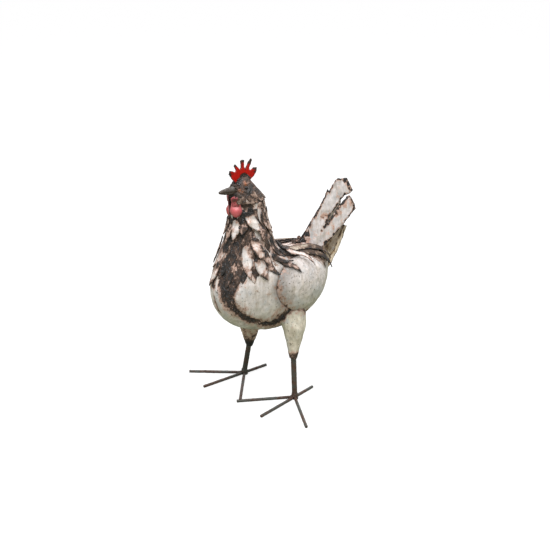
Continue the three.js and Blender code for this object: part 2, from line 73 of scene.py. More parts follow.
# The body from the top of the neck down to the belly: front Y, front Z, back Y, back Z and half width.
BODY_STATIONS = (
    (-86, 404, -21, 406, 32),
    (-86, 369, -16, 371, 35),
    (-91, 339, -8, 342, 42),
    (-104, 304, 5, 312, 51),
    (-118, 271, 38, 293, 61),
    (-131, 239, 98, 287, 67),
    (-126, 202, 139, 263, 68),
    (-105, 172, 149, 220, 64),
    (-75, 152, 126, 174, 52),
    (-31, 138, 76, 146, 30),
    (12, 135, 28, 136, 5),
)
# The head in the same way, from its crown down to its skirt.
HEAD_STATIONS = (
    (-73, 450, -53, 451, 6),
    (-81, 442, -49, 444, 14),
    (-88, 430, -43, 434, 22),
    (-92, 417, -31, 421, 29),
    (-91, 405, -19, 407, 34),
)
# The bead of weld over the crown: Y and Z.
CROWN_LINE = ((-87, 434), (-80, 443), (-70, 450), (-58, 452), (-48, 446))
# The beak from its base to its tip: Y, Z, half height and half width.
BEAK_STATIONS = (
    (-83, 428, 10.2, 9.2), (-92, 428, 8.2, 7.4), (-104, 428.5, 6, 5), (-114, 429, 4.2, 3.4),
    (-121, 429.5, 2.4, 2.0),
)

# Each feather: root station and turn, tip station and turn, width, how many feathers are under it,
# how many more it climbs over, and its rust, which on the first, second and fourth shoulder strips and
# the fifth hackle is raised to paint the shade between the neck and the wing.
FEATHERS = {
    "collar": (
        (1.0, -8, 2.45, -8, 12, 0, 2, 0.45), (0.88, 10, 2.15, 12, 15, 1, 2, 0.12),
        (0.88, 33, 1.75, 31, 13, 0, 2, 0.5), (0.45, 50, 1.6, 74, 15, 1, 2, 0.08),
        (0.95, 76, 2.4, 87, 13, 0, 2, 0.38), (0.55, 96, 1.95, 114, 12, 1, 1, 0.5),
        (0.9, -30, 2.1, -34, 15, 1, 0, 0.4), (0.6, -58, 2.1, -68, 17, 0, 0, 0.25),
        (0.6, -90, 2.1, -106, 17, 1, 0, 0.35), (0.5, 134, 1.85, 140, 18, 0, 0, 0.4),
        (0.5, -136, 2.1, -150, 20, 0, 0, 0.3),
    ),
    "hackle": (
        (2.2, 15, 3.4, 16, 15, 0, 0, 0.62), (2.3, 43, 4.2, 50, 17, 0, 0, 0.1),
        (1.9, 59, 3.3, 76, 15, 1, 2, 0.4), (3.0, 66, 4.6, 71, 17, 1, 0, 0.24),
        (2.7, 86, 4.7, 85, 12, 0, 0, 0.58), (2.75, -10, 4.0, -34, 14, 0, 0, 0.36),
        (3.4, -12, 4.85, -16, 13, 1, 0, 0.3), (2.3, -46, 4.1, -54, 18, 1, 0, 0.25),
        (2.8, -72, 4.6, -76, 19, 0, 0, 0.35), (2.3, -96, 4.4, -98, 16, 1, 0, 0.3),
    ),
    "shoulder": (
        (2.15, 110, 3.9, 121, 11, 0, 0, 0.7), (3.1, 98, 4.4, 110, 11, 1, 0, 0.75),
        (3.4, 138, 5.35, 113, 11, 3, 0, 0.2), (3.7, 105, 5.2, 99, 11, 0, 0, 0.62),
        (2.4, -118, 4.4, -112, 15, 0, 0, 0.3),
    ),
}
SADDLE = (
    (3.2, 131, 6.6, 148, 19, 0.2, 0, 0.42),
    (2.8, 147, 6.3, 158, 21, 1.5, 0, 0.38),
    (2.9, 161, 5.7, 159, 14, 0.2, 0, 0.55),
)
TIP_FLARE = 1.5
SADDLE_FLARE = (7, 3, 2)
FEATHER_SHEET = 1.2
FEATHER_LAY = 1.1
# Small strips under the feathers: rows down the neck, room for each and their rusts, and how many go
# round the head and their rusts.
NECK_ROWS = 9
STRIP_SPACING = 13
NECK_TONES = (0.1, 0.25, 0.4, 0.55, 0.75)
CHEEK_STRIPS = 22
CHEEK_TONES = (0.3, 0.42, 0.6)

# The wing: its middle in Y and Z, half its length and height, its lean, its bulge and its rim's height.
WING_Y, WING_Z, WING_REACH, WING_RISE = 33, 231, 76, 52
WING_LEAN = math.radians(-16)
WING_BULGE = 13
WING_RIM = 1.8

# The tail in Y and Z: the line that each plate turns out about, by how much and how far from the middle,
# the line that its tip folds in on, and each plate's outline with the slit up from its tip.
TAIL_LINE = ((72, 284), (188, 403))
TAIL_OPENING = math.radians(13)
TAIL_START = 3.6
# Beyond this fold line the tip also gets painted shade.
TAIL_FOLD = ((194, 403), (213, 371))
TAIL_PLATES = {
    "left": (
        (66, 284), (92, 302), (111, 325), (131, 350), (151, 372), (153, 378), (159, 386), (163, 381),
        (172, 392), (180, 400), (187, 404), (194, 402), (210, 401), (216, 388), (223, 373), (213, 368),
        (199, 365.5), (187, 356), (172, 343), (157, 329), (148, 318), (147, 312), (151, 316), (160, 325),
        (173, 338), (191, 353), (206, 363), (213, 365), (219, 355), (224, 342), (225, 335), (211, 325),
        (191, 308), (166, 291), (144, 276), (113, 255), (90, 270),
    ),
    "right": (
        (66, 284), (98, 301), (137, 343), (160, 366), (188, 393), (206, 395), (215, 386), (220, 375),
        (197, 367), (186, 357), (172, 344), (157, 330), (149, 318), (152, 315), (161, 324), (174, 337),
        (191, 351), (212, 362), (222, 343), (223, 336), (202, 318), (180, 301), (144, 276), (113, 255),
        (90, 270),
    ),
}
# Rust and burns on the tail: Y, Z, radius and strength.
TAIL_STAINS = (
    (84, 296, 14, 1.0), (99, 304, 9, 0.9), (109, 326, 5, 0.75), (123, 344, 5, 0.75),
    (148, 372, 6, 0.9), (160, 384, 7, 0.9), (205, 398, 7, 0.6), (214, 392, 10, 0.66),
    (216, 379, 8, 0.72), (200, 368, 6, 0.8), (191, 359, 6, 0.85), (179, 348, 6, 0.85),
    (168, 337, 6, 0.9), (159, 328, 6, 0.9), (150, 320, 6, 0.9), (142, 312, 6, 0.8),
    (135, 305, 5, 0.6), (222, 336, 6, 0.75), (208, 323, 5, 0.7), (190, 306, 5, 0.65),
    (163, 285, 9, 0.6), (145, 278, 9, 0.75), (198, 350, 15, 0.50), (212, 350, 12, 0.50),
    (180, 333, 15, 0.46), (163, 312, 14, 0.42), (143, 335, 14, 0.48), (127, 343, 9, 0.42),
    (150, 297, 10, 0.42), (118, 300, 12, 0.36), (120, 318, 8, 0.34), (186, 384, 7, 0.33),
)

# The comb's outline: angle in degrees from the rear and distance from the middle of the crown.
COMB_MIDDLE = (-63, 446)
COMB_OUTLINE = (
    (0, 24), (15, 33), (27, 36.7), (33, 31), (37, 21), (53, 23), (56, 37.5), (61.5, 39.9), (67, 32),
    (73, 18), (85, 21), (87.5, 35), (93, 36), (99.5, 35.3), (103, 22), (114, 20), (119, 29), (122, 36.2),
    (130, 34), (133, 25), (141, 24), (148, 37.6), (159, 36.4), (172, 28), (190, 20), (270, 12),
)
COMB_PLATE = 3

# Each leg: the middle and radius of its thigh cone inside the body and above the rod,
# how late the cone opens out, and the turn of its foot in degrees.
LEGS = {
    "left": {
        "side": 1, "hip": (52.5, 20.5, 186, 35), "knee": (73, -2, 89, 8), "opening": 1.15,
        "turn_out": 8,
    },
    "right": {
        "side": -1, "hip": (-55, -2, 182, 36), "knee": (-61, 2, 70, 6.2), "opening": 0.82,
        "turn_out": -3.4,
    },
}
STANCE = 152
LEG_ROD = 10
TOE_ROD = 6
ROD_RUST = 0.3
BOSS_FOOT, BOSS_TOP, BOSS_HEIGHT = 7.4, 6.0, 12
# The toe rods of each foot: degrees from straight ahead towards the hen's left, and from where to where.
TOES = {
    "long_toe": (0, -0.382 * STANCE, 0.684 * STANCE),
    "right_toe": (-41.8, 6, 0.763 * STANCE),
    "left_toe": (48.4, 6, 0.809 * STANCE),
}

EYE_D = 6
EYE_STATION = 1.75
EYE_TURN = 72
WATTLE_TURN = 42
WATTLE_SHEET = 2.2

# Where the camera stands: degrees round from the front and above the ground, the point that it looks at
# from between the feet, and how far it is from there.
CAMERA_AZIMUTH = 47.22
CAMERA_ELEVATION = 20.16
CAMERA_AIM = (-0.0053, 0.0219, 0.234)
CAMERA_DISTANCE = 1.929
CAMERA_LENS = 63.77

# Each lamp: its place, its width and its power.
LAMPS = (
    ("key", (0.8, -1.1, 2.3), 1.2, 45),
    ("top", (0.1, 0.1, 2.4), 1.6, 34),
    ("back", (-0.6, 1.7, 1.5), 1.2, 10),
)

# Bands of dark rust down the body: station and turn of each point, then width and strength.
RUST_BANDS = (
    (((2.3, 4), (3.0, 8), (3.6, 6), (4.2, 8)), 36, 1.0),
    (((4.2, 8), (4.8, 13), (5.3, 18)), 31, 1.0),
    (((5.3, 18), (5.8, 24), (6.2, 29)), 23, 0.98),
    (((3.2, 22), (3.8, 26), (4.4, 27), (4.9, 24)), 23, 0.92),
    (((6.2, 29), (6.7, 36), (7.3, 46), (7.7, 58)), 17, 0.95),
    (((7.7, 58), (7.5, 70), (7.3, 78), (7.7, 88)), 25, 1.0),
    (((3.6, -10), (4.4, -14), (4.8, -11)), 14, 0.75),
    (((5.4, -7), (6.1, -3)), 9, 0.55),
    (((5.0, -38), (6.2, -48), (7.4, -60)), 23, 0.66),
    (((4.9, 180), (5.6, 176), (6.4, 180)), 20, 0.8),
    (((5.0, 36), (5.1, 45), (5.2, 56), (5.9, 58)), 2, 0.42),
)
# Lines of thin pinkish paint.
THIN_PAINT = (
    (((6.4, 76), (6.9, 66), (7.3, 56)), 24, 0.42),
    (((4.4, 40), (5.2, 62), (6.0, 70)), 18, 0.22),
    (((6.7, 30), (7.2, 38)), 16, 0.26),
)

# Tints over the worn paint, the fourth of them the grey of painted shade, and the heights in metres that the
# painted green reflection from below fades in between.
STREAK_TINT = (0.72, 0.69, 0.64, 1)
COOL_TINT = (0.44, 0.47, 0.49, 1)
WARM_TINT = (0.55, 0.47, 0.38, 1)
# The grey that painted shade darkens the paint towards.
PAINTED_SHADE_TINT = (0.15, 0.145, 0.14, 1)
SPATTER_TINT = (0.30, 0.30, 0.32, 1)
GREEN_REFLECTION_HEIGHTS = (0.245, 0.145)

# The floor's reach in metres, its colour to the camera and to everything else, and how it glows.
FLOOR_REACH = 30
FLOOR_SEEN = (0.24, 0.24, 0.24, 1)
FLOOR_UNSEEN = (0.26, 0.28, 0.20, 1)
FLOOR_GLOW = 0.82
ROOM_COLOUR = (1, 0.985, 1, 1)
ROOM_LIGHT = 0.74


def paint_colour(name, description, default):
    return FloatVectorProperty(
        name=name, description=description, subtype="COLOR", size=3, default=default, min=0, max=1,
    )


def surface_size(name, description, default, low, high):
    return FloatProperty(
        name=name, description=description, subtype="DISTANCE", unit="LENGTH", default=default,
        min=low, max=high,
    )


class StatueColours(PropertyGroup):
    """The statue's paints and rusts, and the green of its painted reflection from below."""

    paint: paint_colour("Paint", "Worn off-white paint", (0.70, 0.645, 0.625))
    primer: paint_colour("Primer", "Pinkish layer where the paint is thin", (0.44, 0.28, 0.215))
    rust: paint_colour("Rust", "Brown rust under the paint", (0.048, 0.028, 0.019))
    scale: paint_colour("Scale", "Black scale in the welds and hollows", (0.013, 0.011, 0.010))
    # The green of a painted reflection from below.
    green_reflection: paint_colour("GreenReflection", "Green tinge low on the statue", (0.20, 0.21, 0.09))
    comb: paint_colour("Comb red", "Paint of the comb", (0.46, 0.006, 0.002))
    wattle: paint_colour("Wattle pink", "Paint of the wattles", (0.52, 0.085, 0.095))


class StatueSizes(PropertyGroup):
    """The statue's surface, in metres."""

    hammering: surface_size("Hammering", "Depth of the hammer marks in the sheet", 0.0011, 0, 0.003)
    raggedness: surface_size("Raggedness", "How far torch-cut edges wander", 0.0012, 0, 0.003)
    weld: surface_size("Weld bead", "Radius of the weld beads", 0.0024, 0.001, 0.005)


def colours():
    return bpy.context.scene.statue_colours


def size_of(name):
    """One of the statue's surface sizes, in millimetres."""
    return getattr(bpy.context.scene.statue_sizes, name) / MM


def smoothstep(low, high, x):
    t = min(1, max(0, (x - low) / (high - low)))
    return t * t * (3 - 2 * t)


def mix(a, b, share):
    return a + (b - a) * share


def heading(degrees):
    """A level direction, in degrees from straight ahead towards the hen's left."""
    return Vector((math.sin(math.radians(degrees)), -math.cos(math.radians(degrees)), 0))


def round_end(start, x):
    """Falls from 1 at start to 0 at 1 as a quarter of a circle does."""
    return math.sqrt(max(0, 1 - max(0, (x - start) / (1 - start)) ** 2))


def spline_value(stations, column, at):
    """A smooth curve through one column of a table of stations."""
    last = len(stations) - 1
    at = min(last, max(0, at))
    i = min(int(at), last - 1)
    t = at - i
    p0, p1, p2, p3 = (stations[min(last, max(0, i + k))][column] for k in (-1, 0, 1, 2))
    v0, v1 = (p2 - p0) / 2, (p3 - p1) / 2
    return (2 * p1 - 2 * p2 + v0 + v1) * t**3 + (3 * p2 - 3 * p1 - 2 * v0 - v1) * t * t + v0 * t + p1


class Loft:
    """A form of flat rings through its front and back points. Turn is 0 in front and 90 at the hen's left."""

    def __init__(self, stations, fullness, chest):
        self.stations = stations
        self.last = len(stations) - 1
        self.fullness = fullness
        self.chest = chest

    @functools.cache
    def ring(self, station):
        return [spline_value(self.stations, column, station) for column in range(5)]

    def skin(self, station, turn):
        front_y, front_z, back_y, back_z, width = self.ring(station)
        cosine, sine = math.cos(math.radians(turn)), math.sin(math.radians(turn))
        fore = math.copysign(abs(cosine) ** self.fullness, cosine)
        side = math.copysign(abs(sine) ** self.fullness, sine)
        back = (1 - fore) / 2
        return Vector((
            width * side * (1 + self.chest * fore),
            mix(front_y, back_y, back),
            mix(front_z, back_z, back),
        ))

    def degree_length(self, station, turn):
        """How far a degree of turn reaches on the skin."""
        return (self.skin(station, turn + 1) - self.skin(station, turn - 1)).length / 2

    def normal(self, station, turn):
        inner = min(self.last - 0.01, max(0.01, station))
        down = self.skin(inner + 0.01, turn) - self.skin(inner - 0.01, turn)
        around = self.skin(inner, turn + 1) - self.skin(inner, turn - 1)
        return down.cross(around).normalized()

    def lifted(self, station, turn, lift):
        return self.skin(station, turn) + self.normal(station, turn) * lift

    def flank(self, y, z):
        """Station and turn of the skin at a Y and Z on the hen's left."""
        above, below = 0, self.last
        for _ in range(17):
            middle = (above + below) / 2
            front_y, front_z, back_y, back_z, _ = self.ring(middle)
            if (back_y - front_y) * (z - front_z) - (back_z - front_z) * (y - front_y) < 0:
                above = middle
            else:
                below = middle
        front_y, _, back_y, _, _ = self.ring(above)
        fore = min(1, max(-1, 1 - 2 * (y - front_y) / (back_y - front_y)))
        return above, math.degrees(math.acos(math.copysign(abs(fore) ** (1 / self.fullness), fore)))


BODY = Loft(BODY_STATIONS, 0.92, 0.08)
HEAD = Loft(HEAD_STATIONS, 0.96, 0.04)


def along_line(points, share):
    """The point at a share of the length of a line through points."""
    lengths = [(b - a).length for a, b in zip(points, points[1:])]
    left = share * sum(lengths)
    for a, b, length in zip(points, points[1:], lengths):
        if left <= length:
            return a.lerp(b, left / length)
        left -= length
    return points[-1]


class Strokes:
    """Bands on the body, for finding how much of them reaches a point."""

    def __init__(self, bands):
        self.spots = []
        for points, width, strength in bands:
            line = [BODY.skin(*point) for point in points]
            count = max(2, round(sum((b - a).length for a, b in zip(line, line[1:])) / 2))
            self.spots += [(along_line(line, i / count), width, strength) for i in range(count + 1)]
        self.tree = KDTree(len(self.spots))
        for i, (spot, _, _) in enumerate(self.spots):
            self.tree.insert(spot, i)
        self.tree.balance()

    def reach(self, p):
        most = 0
        for _, index, far in self.tree.find_n(p, 6):
            _, width, strength = self.spots[index]
            most = max(most, strength * (1 - smoothstep(0.1 * width, 0.74 * width, far)))
        return most


RUST = Strokes(RUST_BANDS)
HALO = Strokes([(points, 2.1 * width, 0.52 * strength) for points, width, strength in RUST_BANDS])
THIN = Strokes(THIN_PAINT)


def hammer(p, size=13):
    """Shallow dents side by side, about nothing on the whole."""
    return noise.voronoi(p / size)[0][0] * 1.3 - 0.6


def wander(p, size):
    return noise.noise(p / size)


def on_wing(along, across):
    """The Y and Z of a point on the leaning wing, from its middle."""
    cosine, sine = math.cos(WING_LEAN), math.sin(WING_LEAN)
    return WING_Y + along * cosine - across * sine, WING_Z + along * sine + across * cosine


def wing_share(y, z):
    """How far out a Y and Z lies on the wing, 1 being its rim."""
    cosine, sine = math.cos(WING_LEAN), math.sin(WING_LEAN)
    along = cosine * (y - WING_Y) + sine * (z - WING_Z)
    across = cosine * (z - WING_Z) - sine * (y - WING_Y)
    return math.hypot(along / WING_REACH, across / WING_RISE)


def wing_top(share):
    return FEATHER_LAY + WING_RIM + WING_BULGE * max(0, 1 - share**2) ** 0.75


def wing_rise(y, z):
    """Height of the wing's top over the flank, falling to nothing just outside its rim."""
    share = wing_share(y, z)
    if share < 1:
        return wing_top(share)
    return wing_top(1) * max(0, 1 - (share - 1) / 0.3)


def empty_shape(*more_layers):
    """A shape whose points carry their share of rim, which also paints shade, and of rust."""
    bm = bmesh.new()
    for layer in ("rim", "rust", *more_layers):
        bm.verts.layers.float.new(layer)
    return bm


def layers_of(bm, *names):
    return [bm.verts.layers.float[name] for name in names]


def grid_sheet(rows, columns, place):
    """A sheet whose points each get a position, a rim, which also paints shade, and a rust from place, at
    shares along and across.
    """
    bm = empty_shape()
    rim, rust = layers_of(bm, "rim", "rust")
    for v in bmesh.ops.create_grid(bm, x_segments=rows, y_segments=columns, size=1)["verts"]:
        v.co, v[rim], v[rust] = place((v.co.x + 1) / 2, (v.co.y + 1) / 2)
    return bm


def close_round(bm):
    """Joins the two long edges of a sheet that goes right round, closes its ends and turns it outwards."""
    bmesh.ops.remove_doubles(bm, verts=bm.verts, dist=0.01)
    bmesh.ops.holes_fill(bm, edges=[e for e in bm.edges if e.is_boundary], sides=0)
    bmesh.ops.recalc_face_normals(bm, faces=bm.faces)


def face_towards(bm, way):
    """Turns the faces of an open sheet alike, so that most of them face a direction."""
    bmesh.ops.recalc_face_normals(bm, faces=bm.faces)
    if sum(f.normal.dot(way) * f.calc_area() for f in bm.faces) < 0:
        bmesh.ops.reverse_faces(bm, faces=bm.faces)


def join_shape(bm, other):
    """Adds another shape to this one."""
    mesh = bpy.data.meshes.new("part")
    other.to_mesh(mesh)
    other.free()
    bm.from_mesh(mesh)
    bpy.data.meshes.remove(mesh)


def stray(dice, share, size):
    return Vector([dice.uniform(-share, share) * size for _ in range(3)])


def weld_lump(bm, centre, size, dice, rust_value):
    stretch = Matrix.Diagonal((size, size * dice.uniform(0.8, 1.2), size * 0.85, 1))
    made = bmesh.ops.create_uvsphere(
        bm, u_segments=8, v_segments=6, radius=1, matrix=Matrix.Translation(centre) @ stretch,
    )
    rust = bm.verts.layers.float["rust"]
    for v in made["verts"]:
        v.co += stray(dice, 0.2, size)
        v[rust] = rust_value + dice.uniform(-0.25, 0.15)


def weld_bead(bm, points, radius, seed, rust_value=0.9):
    """A lumpy bead of weld laid along a line of points."""
    dice = random.Random(seed)
    length = sum((b - a).length for a, b in zip(points, points[1:]))
    count = max(1, round(length / (radius * 1.3)))
    for i in range(count + 1):
        centre = stray(dice, 0.6, radius) + along_line(points, i / count)
        weld_lump(bm, centre, radius * dice.uniform(0.5, 1.15), dice, rust_value)


def ring_line(centre, across, up, step):
    """Points right round a centre, from two half axes, a step of degrees apart."""
    angles = [math.radians(degrees) for degrees in range(0, 361, step)]
    return [centre + across * math.cos(a) + up * math.sin(a) for a in angles]


def finish_piece(bm, name, material, node, thickness=0, bevel=0, wall_side=1):
    """Puts a shape in the row's frame with its wall and material, in place of its CAD node."""
    bmesh.ops.scale(bm, verts=bm.verts, vec=(MM, MM, MM))
    bmesh.ops.translate(bm, verts=bm.verts, vec=BETWEEN_FEET)
    for f in bm.faces:
        f.smooth = True
    mesh = bpy.data.meshes.new(name)
    bm.to_mesh(mesh)
    bm.free()
    mesh.materials.append(material)
    piece = bpy.data.objects.new(name, mesh)
    bpy.context.scene.collection.objects.link(piece)
    if thickness:
        wall = piece.modifiers.new("wall", "SOLIDIFY")
        wall.thickness = thickness * MM
        wall.offset = wall_side
    if bevel:
        soft = piece.modifiers.new("soft edge", "BEVEL")
        soft.width = bevel * MM
        soft.segments = 2
        soft.limit_method = "ANGLE"
    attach(piece, "root")
    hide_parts(node)


def set_input(tree, socket, value):
    """Links a socket to another one, or sets it to a value."""
    if isinstance(value, bpy.types.NodeSocket):
        tree.links.new(value, socket)
    else:
        socket.default_value = value


def set_inputs(tree, node, **inputs):
    for name, value in inputs.items():
        set_input(tree, node.inputs[name.replace("_", " ")], value)


def add_node(tree, kind, **inputs):
    """Adds a shader node with its inputs set or linked by name."""
    node = tree.nodes.new(kind)
    set_inputs(tree, node, **inputs)
    return node


def calculate(tree, operation, a, b):
    node = tree.nodes.new("ShaderNodeMath")
    node.operation = operation
    set_input(tree, node.inputs[0], a)
    set_input(tree, node.inputs[1], b)
    return node.outputs[0]


def ramp_between(tree, value, low, high):
    node = add_node(tree, "ShaderNodeMapRange", Value=value, From_Min=low, From_Max=high)
    node.interpolation_type = "SMOOTHSTEP"
    return node.outputs["Result"]


def blend_colour(tree, factor, a, b, blend="MIX"):
    node = tree.nodes.new("ShaderNodeMix")
    node.data_type = "RGBA"
    node.blend_type = blend
    for name, value in (("Factor_Float", factor), ("A_Color", a), ("B_Color", b)):
        set_input(tree, next(s for s in node.inputs if s.identifier == name), value)
    return next(s for s in node.outputs if s.identifier == "Result_Color")


def fine_noise(tree, vector, scale, detail=4, roughness=0.6):
    inputs = {"Vector": vector, "Scale": scale, "Detail": detail, "Roughness": roughness}
    return add_node(tree, "ShaderNodeTexNoise", **inputs).outputs["Fac"]


def new_material(name):
    """A material with its node tree and its shader node."""
    material = bpy.data.materials.new(name)
    material.use_nodes = True
    return material, material.node_tree, material.node_tree.nodes["Principled BSDF"]


def worn_paint_group():
    """Paint over primer over rust over scale, uncovered in turn as the wear grows, with painted shade laid
    over the paint.
    """
    name = "worn paint"
    if name in bpy.data.node_groups:
        return bpy.data.node_groups[name]
    group = bpy.data.node_groups.new(name, "ShaderNodeTree")
    for way, kind, sockets in (
        ("INPUT", "Vector", ("Vector",)),
        ("INPUT", "Color", ("Paint", "Primer", "Rust", "Scale")),
        ("INPUT", "Float", ("Wear", "Rim", "Patches", "Dirt", "Stain", "Grime")),
        ("OUTPUT", "Color", ("Colour",)),
        ("OUTPUT", "Float", ("Roughness", "Height")),
    ):
        for socket in sockets:
            group.interface.new_socket(socket, in_out=way, socket_type=f"NodeSocket{kind}")
    given = group.nodes.new("NodeGroupInput").outputs
    vector = given["Vector"]
    add = functools.partial(calculate, group, "ADD")
    take = functools.partial(calculate, group, "SUBTRACT")
    times = functools.partial(calculate, group, "MULTIPLY")
    ramp = functools.partial(ramp_between, group)
    blend = functools.partial(blend_colour, group)

    broad = fine_noise(group, vector, 40, 3, 0.55)
    medium = fine_noise(group, vector, 115, 5, 0.65)
    fine = fine_noise(group, vector, 360, 4, 0.7)
    upright = add_node(group, "ShaderNodeMapping", Vector=vector, Scale=(150, 150, 26))
    streak = fine_noise(group, upright.outputs["Vector"], 1, 4, 0.62)
    shifted = add_node(group, "ShaderNodeMapping", Vector=vector, Location=(3, 7, 5))
    speck = fine_noise(group, shifted.outputs["Vector"], 230, 3, 0.65)

    wear = given["Wear"]
    for value, amount in ((broad, given["Patches"]), (medium, 1.1), (fine, 0.65), (streak, 0.6)):
        wear = add(wear, times(take(value, 0.5), amount))
    wear = add(wear, times(given["Rim"], ramp(medium, 0.36, 0.62)))

    # The paint itself is stained: greyer here and warmer there.
    grubby = blend(times(ramp(streak, 0.40, 0.72), given["Stain"]), (1, 1, 1, 1), STREAK_TINT)
    paint = blend(1.0, given["Paint"], grubby, "MULTIPLY")
    for low, high, most, tint in ((0.52, 0.66, 0.45, COOL_TINT), (0.48, 0.34, 0.35, WARM_TINT)):
        stained = times(ramp(broad, low, high), given["Stain"])
        paint = blend(times(stained, most), paint, tint)
    mottled = blend(ramp(medium, 0.3, 0.7), (0.82, 0.82, 0.82, 1), (1.1, 1.1, 1.1, 1))
    paint = blend(1.0, paint, mottled, "MULTIPLY")
    # Painted shade: the paint is darkened towards grey as far as the shade input asks.
    paint = blend(times(given["Grime"], ramp(medium, 0.1, 0.6)), paint, PAINTED_SHADE_TINT)

    bare = ramp(wear, 0.44, 0.76)
    black = ramp(wear, 0.76, 1.06)
    colour = blend(times(ramp(wear, 0.22, 0.52), 0.88), paint, given["Primer"])
    colour = blend(bare, colour, given["Rust"])
    colour = blend(black, colour, given["Scale"])
    colour = blend(times(ramp(speck, 0.62, 0.67), given["Dirt"]), colour, given["Rust"])
    spatter = times(ramp(fine, 0.56, 0.64), black)
    colour = blend(times(spatter, 0.45), colour, SPATTER_TINT)
    set_inputs(
        group, group.nodes.new("NodeGroupOutput"), Colour=colour, Roughness=add(0.42, times(bare, 0.28)),
        Height=add(take(times(medium, 0.9), bare), times(fine, 0.5)),
    )
    return group


def worn_material(name, paint, wear=0.0, rim=0.6, patches=0.9, dirt=0.5, stain=1.0, green_reflection=0.0, painted_shade=0.6,
                  primer=None, relief=0.0007, shine=0.4):
    """Worn paint with the piece's own rim and rust attributes, painted shade from the rim attribute, and a
    painted green reflection towards the statue's underside.
    """
    material, tree, shader = new_material(name)
    times = functools.partial(calculate, tree, "MULTIPLY")
    place = tree.nodes.new("ShaderNodeTexCoord").outputs["Object"]
    own = {}
    for layer in ("rim", "rust"):
        attribute = tree.nodes.new("ShaderNodeAttribute")
        attribute.attribute_name = layer
        own[layer] = attribute.outputs["Fac"]
    paint = (*paint, 1)
    # Painted green reflection from below: a blotchy green tint that grows lower down.
    if green_reflection:
        height = add_node(tree, "ShaderNodeSeparateXYZ", Vector=place).outputs["Z"]
        blotch = ramp_between(tree, fine_noise(tree, place, 46, 4, 0.6), 0.30, 0.60)
        share = times(times(ramp_between(tree, height, *GREEN_REFLECTION_HEIGHTS), blotch), green_reflection)
        paint = blend_colour(tree, share, paint, (*colours().green_reflection, 1))
    layers = tree.nodes.new("ShaderNodeGroup")
    layers.node_tree = worn_paint_group()
    set_inputs(
        tree, layers, Vector=place, Paint=paint, Primer=(*(primer or colours().primer), 1),
        Rust=(*colours().rust, 1), Scale=(*colours().scale, 1), Patches=patches, Dirt=dirt, Stain=stain,
        Wear=calculate(tree, "ADD", own["rust"], wear), Rim=times(own["rim"], rim),
        # The rim attribute also paints shade, scaled by this material's shade strength.
        Grime=times(own["rim"], painted_shade),
    )
    surface = layers.outputs
    bump = add_node(tree, "ShaderNodeBump", Strength=0.8, Distance=relief, Height=surface["Height"])
    set_inputs(
        tree, shader, Normal=bump.outputs["Normal"], Base_Color=surface["Colour"],
        Roughness=surface["Roughness"], Metallic=0.0, Specular_IOR_Level=shine,
    )
    return material


def close_strip(form, station, turn, reach, width, rust_value, seed):
    """A small closed strip lying close on the skin under the feathers."""
    offset = Vector((seed * 3.7, seed * 1.3, 0))
    tip = min(form.last, station + reach)

    def place(along, over):
        v = 2 * over - 1
        at = mix(station, tip, along)
        shape = mix(0.8, 1, along / 0.4) if along < 0.4 else 1.02 - ((along - 0.4) / 0.6) ** 1.8
        across = v * width * shape / 2 + 0.5 * noise.noise(offset + Vector((at * 6, v, 0)))
        lift = 0.35 + 0.55 * along + 0.25 * (1 - v * v)
        tone = rust_value + 0.18 * noise.noise(offset + Vector((at * 3, v * 2, 5)))
        edge = max(smoothstep(0.7, 1, abs(v)), smoothstep(0.8, 1, along))
        p = form.lifted(at, turn + across / form.degree_length(at, turn), lift)
        return p, edge, tone + 0.25 * smoothstep(0.35, 0, along)

    bm = grid_sheet(12, 4, place)
    face_towards(bm, form.normal((station + tip) / 2, turn))
    bmesh.ops.solidify(bm, geom=bm.faces[:], thickness=0.5)
    return bm


def body_skin(along, around):
    """The beaten skin, bare and dark in its bands of rust and set back under the wings, with painted shade
    beside and under the wings, over the rust bands and low on the belly.
    """
    station, turn = along * BODY.last, around * 360 - 180
    p = BODY.skin(station, turn)
    share = wing_share(p.y, p.z)
    flank = smoothstep(150, 140, abs(turn))
    under_wing = flank * smoothstep(1.04, 0.97, share)
    beside_wing = flank * smoothstep(1.35, 1.04, share) * smoothstep(WING_Y, WING_Y - 45, p.y)
    bent = p + 5 * Vector([wander(p + shift, 11) for shift in (0 * LEFT, 50 * LEFT, 50 * BACK)])
    band = RUST.reach(bent)
    thin = max(THIN.reach(bent), HALO.reach(bent))

    lift = size_of("hammering") * hammer(p) + 0.9 * wander(p, 34)
    lift += (1 - under_wing) * 2.4 * beside_wing - 2.4 * under_wing
    lift += band * (1.6 * wander(p, 4) + 0.7 * wander(p, 2) - 1.8)

    # Painted shade, kept in the rim attribute: beside and under the wings, over the rust bands and low on the
    # belly.
    belly_shade = smoothstep(7.6, 8.8, station + 0.6 * wander(p, 20))
    wing_shade = 0.85 * beside_wing * smoothstep(1.3, 1.0, share)
    shade = max(wing_shade, 0.9 * under_wing, smoothstep(0, 0.5, band), 0.4 * belly_shade)

    neck = smoothstep(4.15, 3.4, station + 0.5 * wander(p, 16))
    front_left = smoothstep(75, 10, abs(turn - 8)) * smoothstep(0.4, 2.2, station)
    back = smoothstep(112, 126, abs(turn) + 6 * wander(p, 16)) * smoothstep(6.6, 5.8, station)
    belly = smoothstep(7.6, 8.6, station + 0.5 * wander(p, 14))
    wing_rust = max(0.3 * under_wing, 0.2 * beside_wing * smoothstep(1.16, 1.03, share))
    rust = max(
        0.98 * band, thin, 0.1, 0.66 * belly, wing_rust,
        neck * (0.55 + 0.3 * front_left + 0.5 * wander(p, 9)), back * (0.62 + 0.4 * wander(p, 10)),
    )
    return BODY.lifted(station, turn, lift), shade, rust


